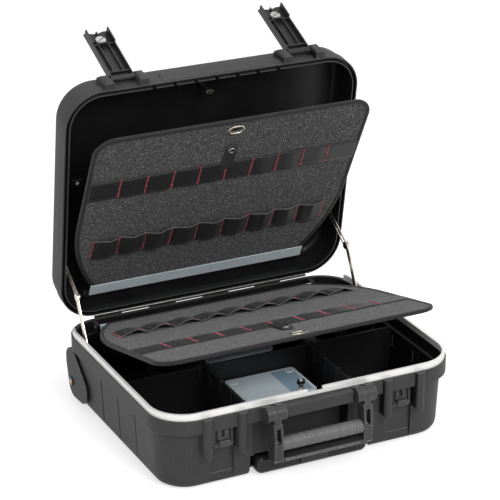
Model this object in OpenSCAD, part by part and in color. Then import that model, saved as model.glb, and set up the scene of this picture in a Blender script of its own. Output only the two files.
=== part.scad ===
// Hard trolley tool case: hinged lid with two fold-out tool boards, over-centre
// latches, carry handle, telescopic trolley handle and two rear wheels.
// Millimetres. X across the width, -Y to the front, +Z up. The origin lies on the
// floor, under the middle of the base. The lid stands open on its stays.

/* [Case] */
// Width over the rim
case_w = 500; // [460:5:560]
// Depth over the rim
case_d = 400; // [380:5:440]
// Height of the base up to the joint with the lid
base_h = 120; // [116:1:140]
// Depth of the lid above the joint
lid_h = 57; // [54:1:70]
// Plan corner radius of the rim
corner_r = 60; // [50:1:70]
// General wall thickness
wall = 3; // [2.6:0.1:3.4]
// Height of the thick lip round the top of the base
lip_h = 23; // [20:1:26]
// How far the lip stands out from the wall below it
lip_out = 8; // [7:0.5:9]
// Inward slope of the base walls from the lip to the floor
base_draft = 4; // [2:0.5:6]
// Angle the lid stands open at
lid_open = 80.6; // [70:0.2:86]

/* [Lid] */
// Height of the band round the rim of the lid
lid_band = 20; // [16:1:24]
// How far the lid is set back above its band
lid_step = 1.6; // [1:0.1:2]

/* [Aluminium frame] */
// Height of the frame above the lip
frame_h = 10; // [8:0.5:10.5]
// Thickness of the frame
frame_t = 4.5; // [4:0.1:5]
// Width of the lid skirt outside the frame
skirt_t = 2.3; // [2:0.1:2.8]
// Width of the notch at the front centre
frame_notch_w = 26; // [20:1:34]

/* [Hinge] */
// Number of hinge knuckles
knuckle_count = 8; // [6:2:10]
// Outer radius of the knuckles
knuckle_r = 3.3; // [3.1:0.1:3.6]
// Radius of the hinge pin
hinge_pin_r = 1.6; // [1.4:0.1:1.8]

/* [Latches] */
// Distance of each latch from the start of the corner curve
latch_inset = 40; // [38:1:50]
// Width of the latch lever
lever_w = 38; // [36:0.5:38]
// Length of the lever from its pivot to its tip
lever_len = 113; // [100:1:114]
// Depth of the lever channel
lever_depth = 10.5; // [9:0.5:10.5]
// Width of the ribs on both sides of a latch
ear_w = 16; // [14:0.5:18]
// Height of the latch pivot above the joint
latch_rise = 23; // [21:0.5:25]
// Angle that an open lever has swung through
lever_open = 166; // [140:1:170]
// Radius of the latch axle
latch_axle_r = 2; // [1.6:0.1:2.2]
// Radius of the lock cylinder
lock_r = 8; // [6:0.5:8.5]

/* [Carry handle] */
// Distance of each handle bracket from the middle
bracket_x = 75; // [72:1:80]
// Height of the handle pivot below the joint with the lid
handle_below = 9; // [6:1:12]
// Radius of the handle knuckles
handle_knuckle_r = 12.5; // [11:0.5:13]
// Radius of the handle pins
handle_pin_r = 3; // [2.5:0.1:3.5]
// Length of the handle arms below the pivot
handle_drop = 76; // [70:1:77]
// Radius of the hand grip
grip_r = 11; // [10:0.5:12]
// Number of ribs on the hand grip
grip_ribs = 10; // [6:1:12]

/* [Trolley] */
// Length of the trolley grip
trolley_w = 188; // [176:2:190]
// Height of the channel that the trolley runs in
channel_h = 30; // [28:1:32]
// Distance of each trolley tube from the middle
tube_x = 62; // [56:1:70]
// Outer radius of the fixed sleeves
sleeve_r = 10.2; // [9.8:0.1:10.6]
// Outer radius of the middle tubes
mid_tube_r = 8.5; // [8.2:0.1:8.8]
// Outer radius of the inner tubes
inner_tube_r = 6.5; // [6:0.1:6.8]

/* [Wheels] */
// Radius of the wheels
wheel_r = 30; // [27:0.5:31]
// Width of a wheel
wheel_w = 24; // [20:0.5:25]
// Radius of the wheel bolts
wheel_bolt_r = 4; // [3:0.1:5]
// How far the wheel guards stand out from the walls
guard_out = 3; // [2:0.5:5]

/* [Tool boards] */
// Gap between the side of a board and the rim round it
board_side_gap = 8.6; // [8.5:0.1:20]
// Gap between the free edge of a board and the rim in front of it
board_front_gap = 20.1; // [16:0.1:30]
// Thickness of the board panels
board_t = 4.4; // [3.6:0.1:5]
// Thickness of the edging over a panel face
edging_t = 0.9; // [0.6:0.1:1]
// Angle that the upper board leans out of the lid
upper_lean = 18.2; // [12:0.2:22]
// Angle that the lower board stands up from the base
lower_rise = 14.1; // [10:0.1:18]
// Spacing of the stitches in the elastic rows
stitch_pitch = 45; // [40:1:48]

/* [Stays] */
// Thickness of the stay links
stay_t = 1.6; // [1.2:0.1:1.6]
// Radius of the stay pivots and studs
stay_pin_r = 2; // [1.6:0.1:2.2]
// Half width of the slot in the upper links
stay_slot_r = 2.9; // [2.7:0.1:3]

/* [Interior] */
// Distance of the long dividers from the middle
divider_x = 90; // [80:1:100]
// Distance of the divider tops below the joint with the lid
divider_below = 19; // [16:0.5:19.5]
// Thickness of the dividers
divider_t = 3; // [2:0.5:4]
// Width of a parts box
box_w = 120; // [100:2:130]
// Depth of a parts box
box_d = 88; // [70:1:92]
// Height of a parts box
box_h = 37; // [26:1:40]

/* [Hidden] */
$fn = 48;

// Fits and gaps
eps = 0.01;
fit = 0.05;         // radial running clearance of pins in bores
touch = 0.3;        // gap between pieces that only rest on each other
joint_gap = 0.4;    // gap between the lid rim and the lip

// Case envelope
half_w = case_w / 2;
half_d = case_d / 2;
lid_top = base_h + lid_h;
wall_top_z = base_h - lip_h;
tub_w = half_w - lip_out;
tub_d = half_d - lip_out;
tub_r = corner_r - lip_out + 2;
edge_r = 16;
frame_out = skirt_t;
frame_in = frame_out + frame_t;
rim_in = frame_in + 0.1;
rim_cavity_z = wall_top_z + 3;
hinge_len = case_w - 2 * corner_r;
latch_x = half_w - corner_r - latch_inset;
tub_wall = wall + 0.5;
floor_t = 8;

// Hinge axis, just behind and above the rear edge of the lip
hinge_y = half_d + 2.6;
hinge_z = base_h + 3.4;
knuckle_pitch = hinge_len / knuckle_count;

// Latches
latch_gap = lever_w + 2;
field_depth = 7.5;
ear_offset = latch_gap / 2 + ear_w / 2;
latch_y = -(half_d + 6);
latch_z = base_h + latch_rise;
lever_out = 11.5;
column_bottom = base_h - 64;

// Handle
handle_y = -(half_d + 12);
handle_z = base_h - handle_below;
arm_t = 9.6;
lug_t = 10;
arm_w = 14;
handle_recess_w = 126;
handle_recess_y = -(tub_d - 34);

// Trolley channel
channel_w = 208;
mouth_h = 36;
front_recess_w = 204;
front_recess = 7;
tube_z = 15.5;
pad_back = -tub_d + front_recess + tub_wall;
cover_t = 3;
cover_front = -tub_d + 32;
sleeve_front = -tub_d + 38;
sleeve_len = 2 * tub_d - 54;
tube_wall_r = 1.6;

// Wheels
wheel_y = half_d - 31.5;
wheel_z = 34;
wheel_x = tub_w - 14;
well_r = wheel_r + 4.5;

// Boards: pivots, and distances along the board from its pivot
upper_pivot_y = half_d - 25;
upper_pivot_z = base_h + 31.5;
lower_pivot_y = half_d - 18;
lower_pivot_z = base_h - 6.5;
strip_len = hinge_len;
board_start = 2.5;
board_w = 2 * (half_w - rim_in - board_side_gap);
board_len = lower_pivot_y + half_d - rim_in - board_front_gap;
board_corner_r = corner_r - 26;
board_arc_r = board_w / 2 + 25.5;
board_arc_from = 165;
strip_pin_r = 2;
pocket_from = 89;
pocket_to = 130;
band_from = 224;
band_to = 265;
tab_from = 250;
tab_to = 304;
eyelet_at = board_len - 22;
eyelet_hole_w = 19;
eyelet_hole_d = 9.6;
panel_half = board_t / 2;
edging_half = panel_half + edging_t;

// Stays: pivot on the base, stud at rest and pivot in the closed lid
stay_base = [half_d - 92, base_h - 11];
stay_stud = [half_d - 51.5, base_h + 67];
stay_lid = [half_d - 104.9, base_h + 43.4];
stay_in = half_w - 13.5;
stay_gap = 0.2;

// Turn buttons
lower_button_y = lower_pivot_y - eyelet_at;
upper_button_y = upper_pivot_y - eyelet_at;
button_len = 13;
button_w = 7;

// Parts boxes
raised_floor = channel_h + wall;
divider_top = base_h - divider_below;
front_box_y = -50;
rear_box_y = 112;
rear_box_x = 5;
box_wall = 1.6;

// Inner half size of the tub at height z, for a rim half size d
function tub_in(d, z) = d - tub_wall
    - base_draft * (wall_top_z + 1 - z) / (wall_top_z + 1 - edge_r);
function open_y(y, z) = hinge_y + (y - hinge_y) * cos(lid_open) + (z - hinge_z) * sin(lid_open);
function open_z(y, z) = hinge_z - (y - hinge_y) * sin(lid_open) + (z - hinge_z) * cos(lid_open);

// ---------------------------------------------------------------- helpers
module rounded_plate(w, d, r) {
    square([2 * w - 2 * r, 2 * d], center = true);
    square([2 * w, 2 * d - 2 * r], center = true);
    for (x = [-1, 1], y = [-1, 1]) translate([x * (w - r), y * (d - r)]) circle(r);
}

module slab(w, d, r, z, h = eps) {
    translate([0, 0, z]) linear_extrude(h) rounded_plate(w, d, r);
}

// Outer body of a tub that narrows by `draft` and ends in a rounded edge of radius r
module drafted_tub(w, d, r, z0, z1, draft, edge) {
    hull() {
        slab(w, d, r, z1 - eps);
        for (a = [0 : 22.5 : 90])
            slab(w - draft - edge * (1 - cos(a)), d - draft - edge * (1 - cos(a)),
                 max(r - draft - edge * (1 - cos(a)), 8), z0 + edge * (1 - sin(a)));
    }
}

module on_x(r, x0, x1) {
    translate([x0, 0, 0]) rotate([0, 90, 0]) cylinder(r = r, h = x1 - x0);
}

module box(x0, x1, y0, y1, z0, z1) {
    translate([x0, y0, z0]) cube([x1 - x0, y1 - y0, z1 - z0]);
}

module both_sides() {
    children();
    mirror([1, 0, 0]) children();
}

module at_latches() {
    for (s = [-1, 1]) translate([s * latch_x, 0, 0]) children();
}

// Turns closed-lid coordinates into the open rest position
module in_lid() {
    translate([0, hinge_y, hinge_z]) rotate([-lid_open, 0, 0])
        translate([0, -hinge_y, -hinge_z]) children();
}

// An extrusion along X of a profile drawn in Y and Z
module side_profile(x0, x1) {
    translate([x0, 0, 0]) rotate([90, 0, 90]) linear_extrude(x1 - x0) children();
}

// ---------------------------------------------------------------- base shell
module wheel_place() {
    translate([0, wheel_y, wheel_z]) children();
}

module latch_column() {
    intersection() {
        translate([0, 0, column_bottom]) union() {
            translate([0, -half_d, 0]) cylinder(r = ear_w / 2, h = base_h - column_bottom);
            box(-ear_w / 2, ear_w / 2, -half_d, -half_d + 16, 0, base_h - column_bottom);
        }
        translate([0, -half_d + 16, column_bottom + ear_w / 2]) rotate([90, 0, 0])
            linear_extrude(40) {
                circle(ear_w / 2);
                translate([-ear_w / 2, 0]) square([ear_w, base_h]);
            }
    }
}

module base_outer() {
    drafted_tub(tub_w, tub_d, tub_r, 0, wall_top_z + 1, base_draft, edge_r);
    slab(half_w, half_d, corner_r, wall_top_z, lip_h);
    // Thickened lip between the handle brackets
    box(-bracket_x + 17, bracket_x - 17, -half_d - 11, -half_d + 8, base_h - 20, base_h - 2);
    for (s = [-1, 1], e = [-1, 1])
        translate([s * latch_x + e * ear_offset, 0, 0]) latch_column();
}

module base_cavity() {
    drafted_tub(tub_w - tub_wall, tub_d - tub_wall, tub_r - tub_wall, floor_t,
                rim_cavity_z + 1, base_draft, edge_r - wall);
    slab(half_w - rim_in, half_d - rim_in, corner_r - rim_in, rim_cavity_z, lip_h + 2);
}

// Pair of ribs that hold the end of a divider, standing on the wall at y = 0
module divider_ribs(from = -9, to = 7) {
    for (e = [-1, 1]) translate([e * (divider_t / 2 + touch + 1.2) - 1.2, from, 0])
        cube([2.4, to - from, rim_cavity_z - raised_floor - 6]);
}

module tunnel_blocks() {
    // Raised floor over the trolley channel and the housing of the hand recess
    box(-channel_w / 2 - wall, channel_w / 2 + wall, -tub_d, tub_d, 3, raised_floor);
    box(-channel_w / 2 - wall, channel_w / 2 + wall, -tub_d, cover_front + 8, 3,
        mouth_h + wall);
    box(-handle_recess_w / 2 - wall, handle_recess_w / 2 + wall, -tub_d,
        handle_recess_y + wall, mouth_h, rim_cavity_z - 0.1);
    // Pad behind the recess between the latches
    box(-front_recess_w / 2 - 4, front_recess_w / 2 + 4, -tub_d, pad_back, raised_floor,
        rim_cavity_z - 0.1);
    // Pads behind the fields under the latches
    at_latches() box(-latch_gap / 2 - wall, latch_gap / 2 + wall, -tub_d,
                     -tub_d + field_depth + tub_wall, 2, rim_cavity_z - 0.1);
}

// Ribs that hold the dividers
module all_divider_ribs() {
    for (s = [-1, 1]) translate([s * divider_x, pad_back, raised_floor]) divider_ribs(0, 9);
    for (s = [-1, 1]) translate([s * divider_x, tub_d - 5, raised_floor]) rotate(180)
        divider_ribs();
    for (s = [-1, 1]) translate([s * (tub_w - 5), 0, raised_floor]) rotate(s * 90)
        divider_ribs();
}

// Lugs for the pins of the lower hinge strip
module strip_lugs() {
    both_sides() difference() {
        box(strip_len / 2 + touch, strip_len / 2 + 6, lower_pivot_y - 5,
            half_d - rim_in + 1, lower_pivot_z - 8, lower_pivot_z + 4.5);
        translate([0, lower_pivot_y, lower_pivot_z])
            on_x(strip_pin_r + fit, strip_len / 2 - 5, strip_len / 2 + 10);
    }
}

// Swelling of the side wall in front of and above a wheel
module wheel_guard() {
    intersection() {
        wheel_place() side_profile(tub_w - 6.5, tub_w + guard_out) hull() {
            translate([-37.5, 3]) circle(25);
            translate([-1.5, wheel_r + 4]) circle(24);
            translate([-8.5, -2]) circle(22);
        }
        box(0, half_w + 20, 0, half_d - 10, 4, 200);
    }
}

module base_cuts() {
    // Trolley channel with a taller mouth at the front
    box(-channel_w / 2, channel_w / 2, -half_d, tub_d - 8, -1, channel_h);
    box(-channel_w / 2, channel_w / 2, -half_d, cover_front + 5, -1, mouth_h);
    // Shallow recess between the latches, with the hand recess behind the carry handle
    translate([0, 0, mouth_h - 1]) linear_extrude(wall_top_z - mouth_h + 1) polygon([
        [-front_recess_w / 2, -half_d], [-front_recess_w / 2, -tub_d],
        [-front_recess_w / 2 + 8, -tub_d + front_recess],
        [front_recess_w / 2 - 8, -tub_d + front_recess],
        [front_recess_w / 2, -tub_d], [front_recess_w / 2, -half_d]]);
    box(-handle_recess_w / 2, handle_recess_w / 2, -half_d, handle_recess_y,
        mouth_h + wall, wall_top_z);
    // Recessed fields under the latches
    at_latches() box(-latch_gap / 2, latch_gap / 2, -half_d, -tub_d + field_depth, -1,
                     wall_top_z);
    // Wheel wells with the bolt holes
    both_sides() wheel_place() {
        on_x(well_r, wheel_x - wheel_w / 2 - 1.5, wheel_x + wheel_w / 2 + 1.5);
        on_x(wheel_bolt_r, wheel_x - 30, half_w + 10);
    }
    // Upright grooves in both side walls
    both_sides() for (y = [-77, -12, 53])
        box(tub_w - base_draft - 1, half_w, y - 1.5, y + 1.5, -1, wall_top_z - 6);
    // Holes of the stay pivots
    both_sides() translate([0, stay_base[0], stay_base[1]])
        on_x(stay_pin_r + fit, half_w - 10, half_w - 3);
}

module base_shell() {
    color("dimgray") difference() {
        union() {
            difference() {
                union() {
                    base_outer();
                    both_sides() wheel_guard();
                }
                base_cavity();
            }
            strip_lugs();
        }
        base_cuts();
    }
}

// A piece that stands inside the tub and is cut like the shell
module in_tub() {
    color("gray") difference() {
        intersection() {
            children();
            base_cavity();
        }
        base_cuts();
    }
}

module trolley_tunnel() {
    in_tub() tunnel_blocks();
}

module wheel_housings() {
    in_tub() both_sides() wheel_place()
        on_x(well_r + wall, wheel_x - wheel_w / 2 - 6, tub_w);
}

module divider_guides() {
    in_tub() difference() {
        all_divider_ribs();
        tunnel_blocks();
    }
}

// ---------------------------------------------------------------- aluminium frame
module frame_ring(inset, thickness, z0, h) {
    translate([0, 0, z0]) linear_extrude(h) difference() {
        rounded_plate(half_w - inset, half_d - inset, corner_r - inset);
        rounded_plate(half_w - inset - thickness, half_d - inset - thickness,
                      corner_r - inset - thickness);
    }
}

module aluminium_frame() {
    color("gainsboro") difference() {
        frame_ring(frame_out, frame_t, base_h, frame_h);
        // Outer groove
        frame_ring(frame_out - 1, 1.6, base_h + 1.8, 0.9);
        // Open at the back, behind the rear corners
        box(-half_w, half_w, half_d - 41, half_d + 1, base_h - 1, base_h + frame_h + 1);
        // Notch at the front centre
        box(-frame_notch_w / 2, frame_notch_w / 2, -half_d, -half_d + 10, base_h + 4,
            base_h + frame_h + 1);
    }
}

// ---------------------------------------------------------------- trolley handle
module at_tubes() {
    for (s = [-1, 1]) translate([s * tube_x, 0, tube_z]) children();
}

module along_y(r, y0, y1) {
    translate([0, y0, 0]) rotate([-90, 0, 0]) cylinder(r = r, h = y1 - y0);
}

module trolley_cover() {
    cover_w = channel_w - 2 * touch;
    color("dimgray") difference() {
        union() {
            box(-cover_w / 2, cover_w / 2, cover_front, tub_d - 8 - touch, 0, cover_t);
            for (y = [cover_front + 12, 0, 150], s = [-1, 1])
                box(s * tube_x - 14, s * tube_x + 14, y, y + 12, 0, tube_z);
        }
        at_tubes() along_y(sleeve_r, cover_front - 5, tub_d);
    }
}

module trolley_sleeves() {
    color("silver") at_tubes() difference() {
        along_y(sleeve_r, sleeve_front, sleeve_front + sleeve_len);
        along_y(mid_tube_r + fit, sleeve_front - 1, sleeve_front + sleeve_len + 1);
    }
}

module trolley_mid_tubes() {
    color("silver") at_tubes() difference() {
        along_y(mid_tube_r, sleeve_front - 2, sleeve_front + sleeve_len - 6);
        along_y(inner_tube_r + fit, sleeve_front - 3, sleeve_front + sleeve_len);
    }
}

module trolley_inner_tubes() {
    color("silver") at_tubes() difference() {
        along_y(inner_tube_r, tube_front, sleeve_front + sleeve_len - 10);
        along_y(inner_tube_r - tube_wall_r, tube_front + 10, sleeve_front + sleeve_len);
    }
}

grip_front = -tub_d - 1;
grip_back = grip_front + 29;
tube_front = grip_front + 15;
grip_z0 = 1.5;
grip_z1 = 30;
button_half = 22;

module button_outline(grow, y0, y1) {
    translate([0, y1, (grip_z0 + grip_z1) / 2]) rotate([90, 0, 0]) linear_extrude(y1 - y0)
        rounded_plate(button_half + grow, 7.4 + grow, 3 + grow);
}

module trolley_grip() {
    color("dimgray") difference() {
        hull() for (x = [-1, 1], z = [0, 1])
            translate([x * (trolley_w / 2 - 11), 0, z ? grip_z1 - 11 : grip_z0 + 11])
                rotate([90, 0, 0]) translate([0, 0, -grip_back]) {
                    cylinder(r = 11, h = grip_back - grip_front - 7, $fn = 32);
                    cylinder(r = 9.6, h = grip_back - grip_front - 3, $fn = 32);
                    cylinder(r = 6, h = grip_back - grip_front, $fn = 32);
                }
        // Finger hollow behind the front bar
        box(-tube_x + 14, tube_x - 14, grip_front + 13, grip_back + 1, -1, grip_z1 + 1);
        // Pocket of the push button
        button_outline(touch, grip_front - 1, grip_front + 10.5);
        button_outline(1.3, grip_front - 1, grip_front + 2.5);
        // Ribs on the right half
        for (x = [34 : 9 : 81]) box(x, x + 1.6, grip_front - 1, grip_front + 1.2, 0, grip_z1 + 1);
        // Sockets of the tubes
        at_tubes() along_y(inner_tube_r, tube_front, grip_back + 1);
    }
}

module push_button() {
    color("dimgray") union() {
        button_outline(0, grip_front - 4, grip_front + 4);
        box(-8, 8, grip_front + 4, grip_front + 6, 12, 20);
    }
}

// ---------------------------------------------------------------- wheels
module wheel_bolts() {
    color("silver") both_sides() wheel_place() {
        on_x(wheel_bolt_r, wheel_x - wheel_w / 2 - 4, tub_w + guard_out);
        on_x(7, tub_w + guard_out, tub_w + guard_out + 2.5);
    }
}

module wheel_hub() {
    translate([wheel_x, wheel_y, wheel_z]) difference() {
        union() {
            on_x(wheel_r - 8, -wheel_w / 2 + 1, wheel_w / 2 - 1);
            on_x(9, -wheel_w / 2, wheel_w / 2);
        }
        on_x(wheel_bolt_r + fit, -wheel_w, wheel_w);
        for (e = [-1, 1]) translate([e * wheel_w / 2, 0, 0]) difference() {
            on_x(wheel_r - 11, -5, 5);
            on_x(9.5, -6, 6);
            for (a = [0 : 60 : 179]) rotate([a, 0, 0])
                cube([12, 2 * wheel_r, 3], center = true);
        }
    }
}

module wheel_tyre() {
    translate([wheel_x, wheel_y, wheel_z]) rotate([0, 90, 0]) rotate_extrude()
        difference() {
            translate([wheel_r - 8, -wheel_w / 2]) square([8, wheel_w]);
            for (e = [-1, 1]) translate([wheel_r, e * wheel_w / 2]) rotate(45)
                square(4.5, center = true);
        }
}

module wheel_hub_right() { color("dimgray") wheel_hub(); }
module wheel_hub_left() { color("dimgray") mirror([1, 0, 0]) wheel_hub(); }
module wheel_tyre_right() { color("black") wheel_tyre(); }
module wheel_tyre_left() { color("black") mirror([1, 0, 0]) wheel_tyre(); }

// ---------------------------------------------------------------- latch keepers
keeper_y = -tub_d + field_depth;
hook_z = latch_z - 75;

module latch_keepers() {
    color("black") at_latches() difference() {
        union() {
            // Back plate with its side cheeks and two feet
            box(-17, 17, keeper_y - 3, keeper_y, hook_z - 2, wall_top_z);
            for (s = [-1, 1]) {
                box(s * 15.5 - 1.5, s * 15.5 + 1.5, keeper_y - 7, keeper_y, hook_z - 2,
                    wall_top_z);
                box(s * 12 - 3, s * 12 + 3, keeper_y - 10, keeper_y, hook_z - 2, hook_z + 2);
            }
            // Frame of the window
            box(-8, 8, keeper_y - 7, keeper_y, hook_z + 8, hook_z + 28.5);
            // Hook that the lever snaps over
            box(-8, 8, keeper_y - 13, keeper_y, hook_z + 4, hook_z + 9);
            box(-8, 8, keeper_y - 15, keeper_y - 12, hook_z, hook_z + 9);
        }
        // Upright window
        box(-3.5, 3.5, keeper_y - 20, keeper_y - 2, hook_z + 12, hook_z + 26);
    }
}

// ---------------------------------------------------------------- carry handle
module bracket_lug(x0, x1) {
    side_profile(x0, x1) difference() {
        union() {
            translate([handle_y, handle_z]) circle(handle_knuckle_r);
            translate([handle_y, handle_z - handle_knuckle_r])
                square([-half_d - handle_y, 2 * handle_knuckle_r - 4]);
        }
        translate([handle_y, handle_z]) circle(handle_pin_r);
        translate([-half_d - eps, 0]) square([50, 200]);
    }
}

module handle_brackets() {
    color("dimgray") both_sides() {
        bracket_lug(bracket_x + arm_t / 2 + 0.2, bracket_x + arm_t / 2 + 0.2 + lug_t);
        bracket_lug(bracket_x - arm_t / 2 - 0.2 - lug_t, bracket_x - arm_t / 2 - 0.2);
    }
}

module handle_pins() {
    color("silver") both_sides() translate([0, handle_y, handle_z])
        on_x(handle_pin_r, bracket_x - arm_t / 2 - lug_t - 0.2,
             bracket_x + arm_t / 2 + lug_t + 0.2);
}

grip_z = handle_z - 50;
grip_y = handle_y - 5;
bar_z0 = handle_z - handle_drop;

module arm_profile() {
    difference() {
        union() {
            translate([handle_y, handle_z]) circle(handle_knuckle_r - 1.5);
            polygon([[handle_y - 11, handle_z], [handle_y + 11, handle_z],
                     [handle_y + 7, grip_z + 20], [handle_y + 7, bar_z0 + 6],
                     [handle_y + 2, bar_z0], [handle_y - 12, bar_z0],
                     [handle_y - 16, bar_z0 + 4], [handle_y - 16, grip_z + 14]]);
        }
        translate([handle_y, handle_z]) circle(handle_pin_r + fit);
    }
}

module handle_frame() {
    color("dimgray") difference() {
        union() {
            both_sides() {
                side_profile(bracket_x - arm_t / 2, bracket_x + arm_t / 2) arm_profile();
                intersection() {
                    side_profile(bracket_x - arm_w / 2, bracket_x + arm_w / 2) arm_profile();
                    box(0, 200, -half_d - 60, 0, 0, handle_z - handle_knuckle_r - 2);
                }
            }
            // Lower bar
            box(-bracket_x, bracket_x, handle_y - 14, handle_y + 2, bar_z0, bar_z0 + 5.5);
        }
        // Grooves along the front of the bar
        for (z = [1.6, 3.4]) box(-bracket_x + 12, bracket_x - 12, handle_y - 15, handle_y - 13.2,
                                 bar_z0 + z, bar_z0 + z + 0.8);
        // Rectangular hollows in the fronts of the arms
        both_sides() box(bracket_x - 4, bracket_x + 4, handle_y - 20, handle_y - 4,
                         grip_z + 4, handle_z - 20);
        // Ends of the grip sit in the arms
        translate([0, grip_y, grip_z]) on_x(grip_r - 4, -bracket_x - 2, bracket_x + 2);
    }
}

module handle_grip() {
    span = 2 * (bracket_x - arm_w / 2 - touch);
    rib = span / grip_ribs;
    color("dimgray") translate([0, grip_y, grip_z]) {
        on_x(grip_r - 4, -bracket_x - 2, bracket_x + 2);
        on_x(grip_r - 0.9, -span / 2, span / 2);
        for (k = [0 : grip_ribs - 1])
            on_x(grip_r, -span / 2 + k * rib + 0.8, -span / 2 + (k + 1) * rib - 0.8);
    }
}

// ---------------------------------------------------------------- hinge
module leaf(z0, z1, first) {
    difference() {
        union() {
            box(-hinge_len / 2, hinge_len / 2, half_d, half_d + 1, z0, z1);
            for (k = [first : 2 : knuckle_count - 1])
                translate([-hinge_len / 2 + k * knuckle_pitch + 0.1, 0, 0]) {
                    box(0, knuckle_pitch - 0.2, half_d, half_d + 1,
                        min(z0, hinge_z), max(z1, hinge_z));
                    translate([0, hinge_y, hinge_z]) on_x(knuckle_r, 0, knuckle_pitch - 0.2);
                }
        }
        translate([0, hinge_y, hinge_z])
            on_x(hinge_pin_r + fit, -hinge_len / 2 - 1, hinge_len / 2 + 1);
    }
}

module hinge_base_leaf() {
    color("darkslategray") leaf(base_h - 20, hinge_z - knuckle_r - 0.5, 0);
}

module hinge_lid_leaf() {
    color("darkslategray") in_lid() leaf(hinge_z + knuckle_r + 0.5, base_h + 24, 1);
}

module hinge_pin() {
    color("silver") translate([0, hinge_y, hinge_z])
        on_x(hinge_pin_r, -hinge_len / 2 - 0.8, hinge_len / 2 + 0.8);
}

// ---------------------------------------------------------------- lid
module lid_outer() {
    // Rim band, and the body that is set back from it
    slab(half_w, half_d, corner_r, base_h + joint_gap, lid_band - joint_gap);
    hull() {
        slab(half_w - lid_step, half_d - lid_step, corner_r - lid_step, base_h + lid_band - 1);
        slab(half_w - lid_step - 1.5, half_d - lid_step - 1.5, corner_r - lid_step - 1.5,
             lid_top - 17);
        for (a = [0 : 22.5 : 90])
            slab(half_w - lid_step - 2 - 13 * (1 - cos(a)),
                 half_d - lid_step - 2 - 13 * (1 - cos(a)),
                 corner_r - lid_step - 2 - 13 * (1 - cos(a)), lid_top - 13 + 13 * sin(a) - eps);
    }
}

module lid_cavity() {
    hull() {
        slab(half_w - wall - lid_step, half_d - wall - lid_step, corner_r - wall - lid_step,
             base_h + frame_h + 3);
        slab(half_w - wall - lid_step - 1.5, half_d - wall - lid_step - 1.5,
             corner_r - wall - lid_step - 1.5, lid_top - 17);
        for (a = [0 : 30 : 90])
            slab(half_w - wall - lid_step - 2 - 10 * (1 - cos(a)),
                 half_d - wall - lid_step - 2 - 10 * (1 - cos(a)),
                 corner_r - wall - lid_step - 2 - 10 * (1 - cos(a)),
                 lid_top - 13 + 10 * sin(a) - eps);
    }
    slab(half_w - rim_in - 1.9, half_d - rim_in - 1.9, corner_r - rim_in - 1.9, base_h - 1,
         frame_h + 5);
}

module lid_ear() {
    intersection() {
        side_profile(-ear_w / 2, ear_w / 2) difference() {
            polygon([[-half_d + 2, base_h + 1], [-half_d - 11, base_h + 1],
                     [-half_d - 12.5, latch_z - 11], [-half_d - 11.5, latch_z + 5],
                     [-half_d - 4, latch_z + 15], [-half_d + 2, latch_z + 15]]);
            translate([latch_y, latch_z]) circle(latch_axle_r);
        }
        // Rounded nose
        translate([0, -half_d - 6.5, base_h]) linear_extrude(latch_z - base_h + 16) {
            for (s = [-1, 1]) translate([s * (ear_w / 2 - 6), 0]) circle(6);
            translate([-ear_w / 2 + 6, -6]) square([ear_w - 12, 12]);
            translate([-ear_w / 2, 0]) square([ear_w, 9]);
        }
    }
}

module lid_solid() {
    difference() {
        union() {
            difference() {
                lid_outer();
                lid_cavity();
            }
            for (s = [-1, 1], e = [-1, 1])
                translate([s * latch_x + e * ear_offset, 0, 0]) lid_ear();
            // Raised field between the latches
            box(-88, 88, -half_d - 0.8, -half_d + 3, base_h + 5, base_h + 27);
            // Lugs for the pins of the upper hinge strip
            both_sides() difference() {
                box(strip_len / 2 + touch, strip_len / 2 + 6, upper_pivot_y - 5,
                    upper_pivot_y + 5, upper_pivot_z - 4.5, lid_top - wall + 1);
                translate([0, upper_pivot_y, upper_pivot_z])
                    on_x(strip_pin_r + fit, strip_len / 2 - 5, strip_len / 2 + 10);
            }
        }
        // Groove for the aluminium frame
        frame_ring(frame_out - 0.3, frame_t + 0.6, base_h, frame_h + 0.6);
        // Relief for the hinge knuckles
        box(-hinge_len / 2 - 2, hinge_len / 2 + 2, hinge_y - knuckle_r - 0.5, half_d + 1,
            base_h, hinge_z + knuckle_r + 0.4);
        // Gaps in the inner bead between the latches
        for (k = [-3 : 3]) box(k * 35 - 3, k * 35 + 3, -half_d + frame_in, -half_d + 11,
                               base_h, base_h + frame_h + 1);
        // Fields under the pivots of the levers
        at_latches() box(-latch_gap / 2, latch_gap / 2, -half_d - 5, -half_d + 1.2,
                         base_h, base_h + 36);
        // Holes of the stay pivots
        both_sides() translate([0, stay_lid[0], stay_lid[1]])
            on_x(stay_pin_r + fit, half_w - 20, half_w - 4);
    }
}

module lid_shell() {
    color("dimgray") in_lid() lid_solid();
}

// ---------------------------------------------------------------- latches
module latch_axles() {
    color("silver") in_lid() at_latches() translate([0, latch_y, latch_z])
        on_x(latch_axle_r, -latch_gap / 2 - ear_w + 1, latch_gap / 2 + ear_w - 1);
}

lever_tip = latch_z - lever_len;
lever_y0 = -half_d - lever_out;
lever_y1 = lever_y0 + lever_depth;
lock_z = latch_z - 89;

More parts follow.
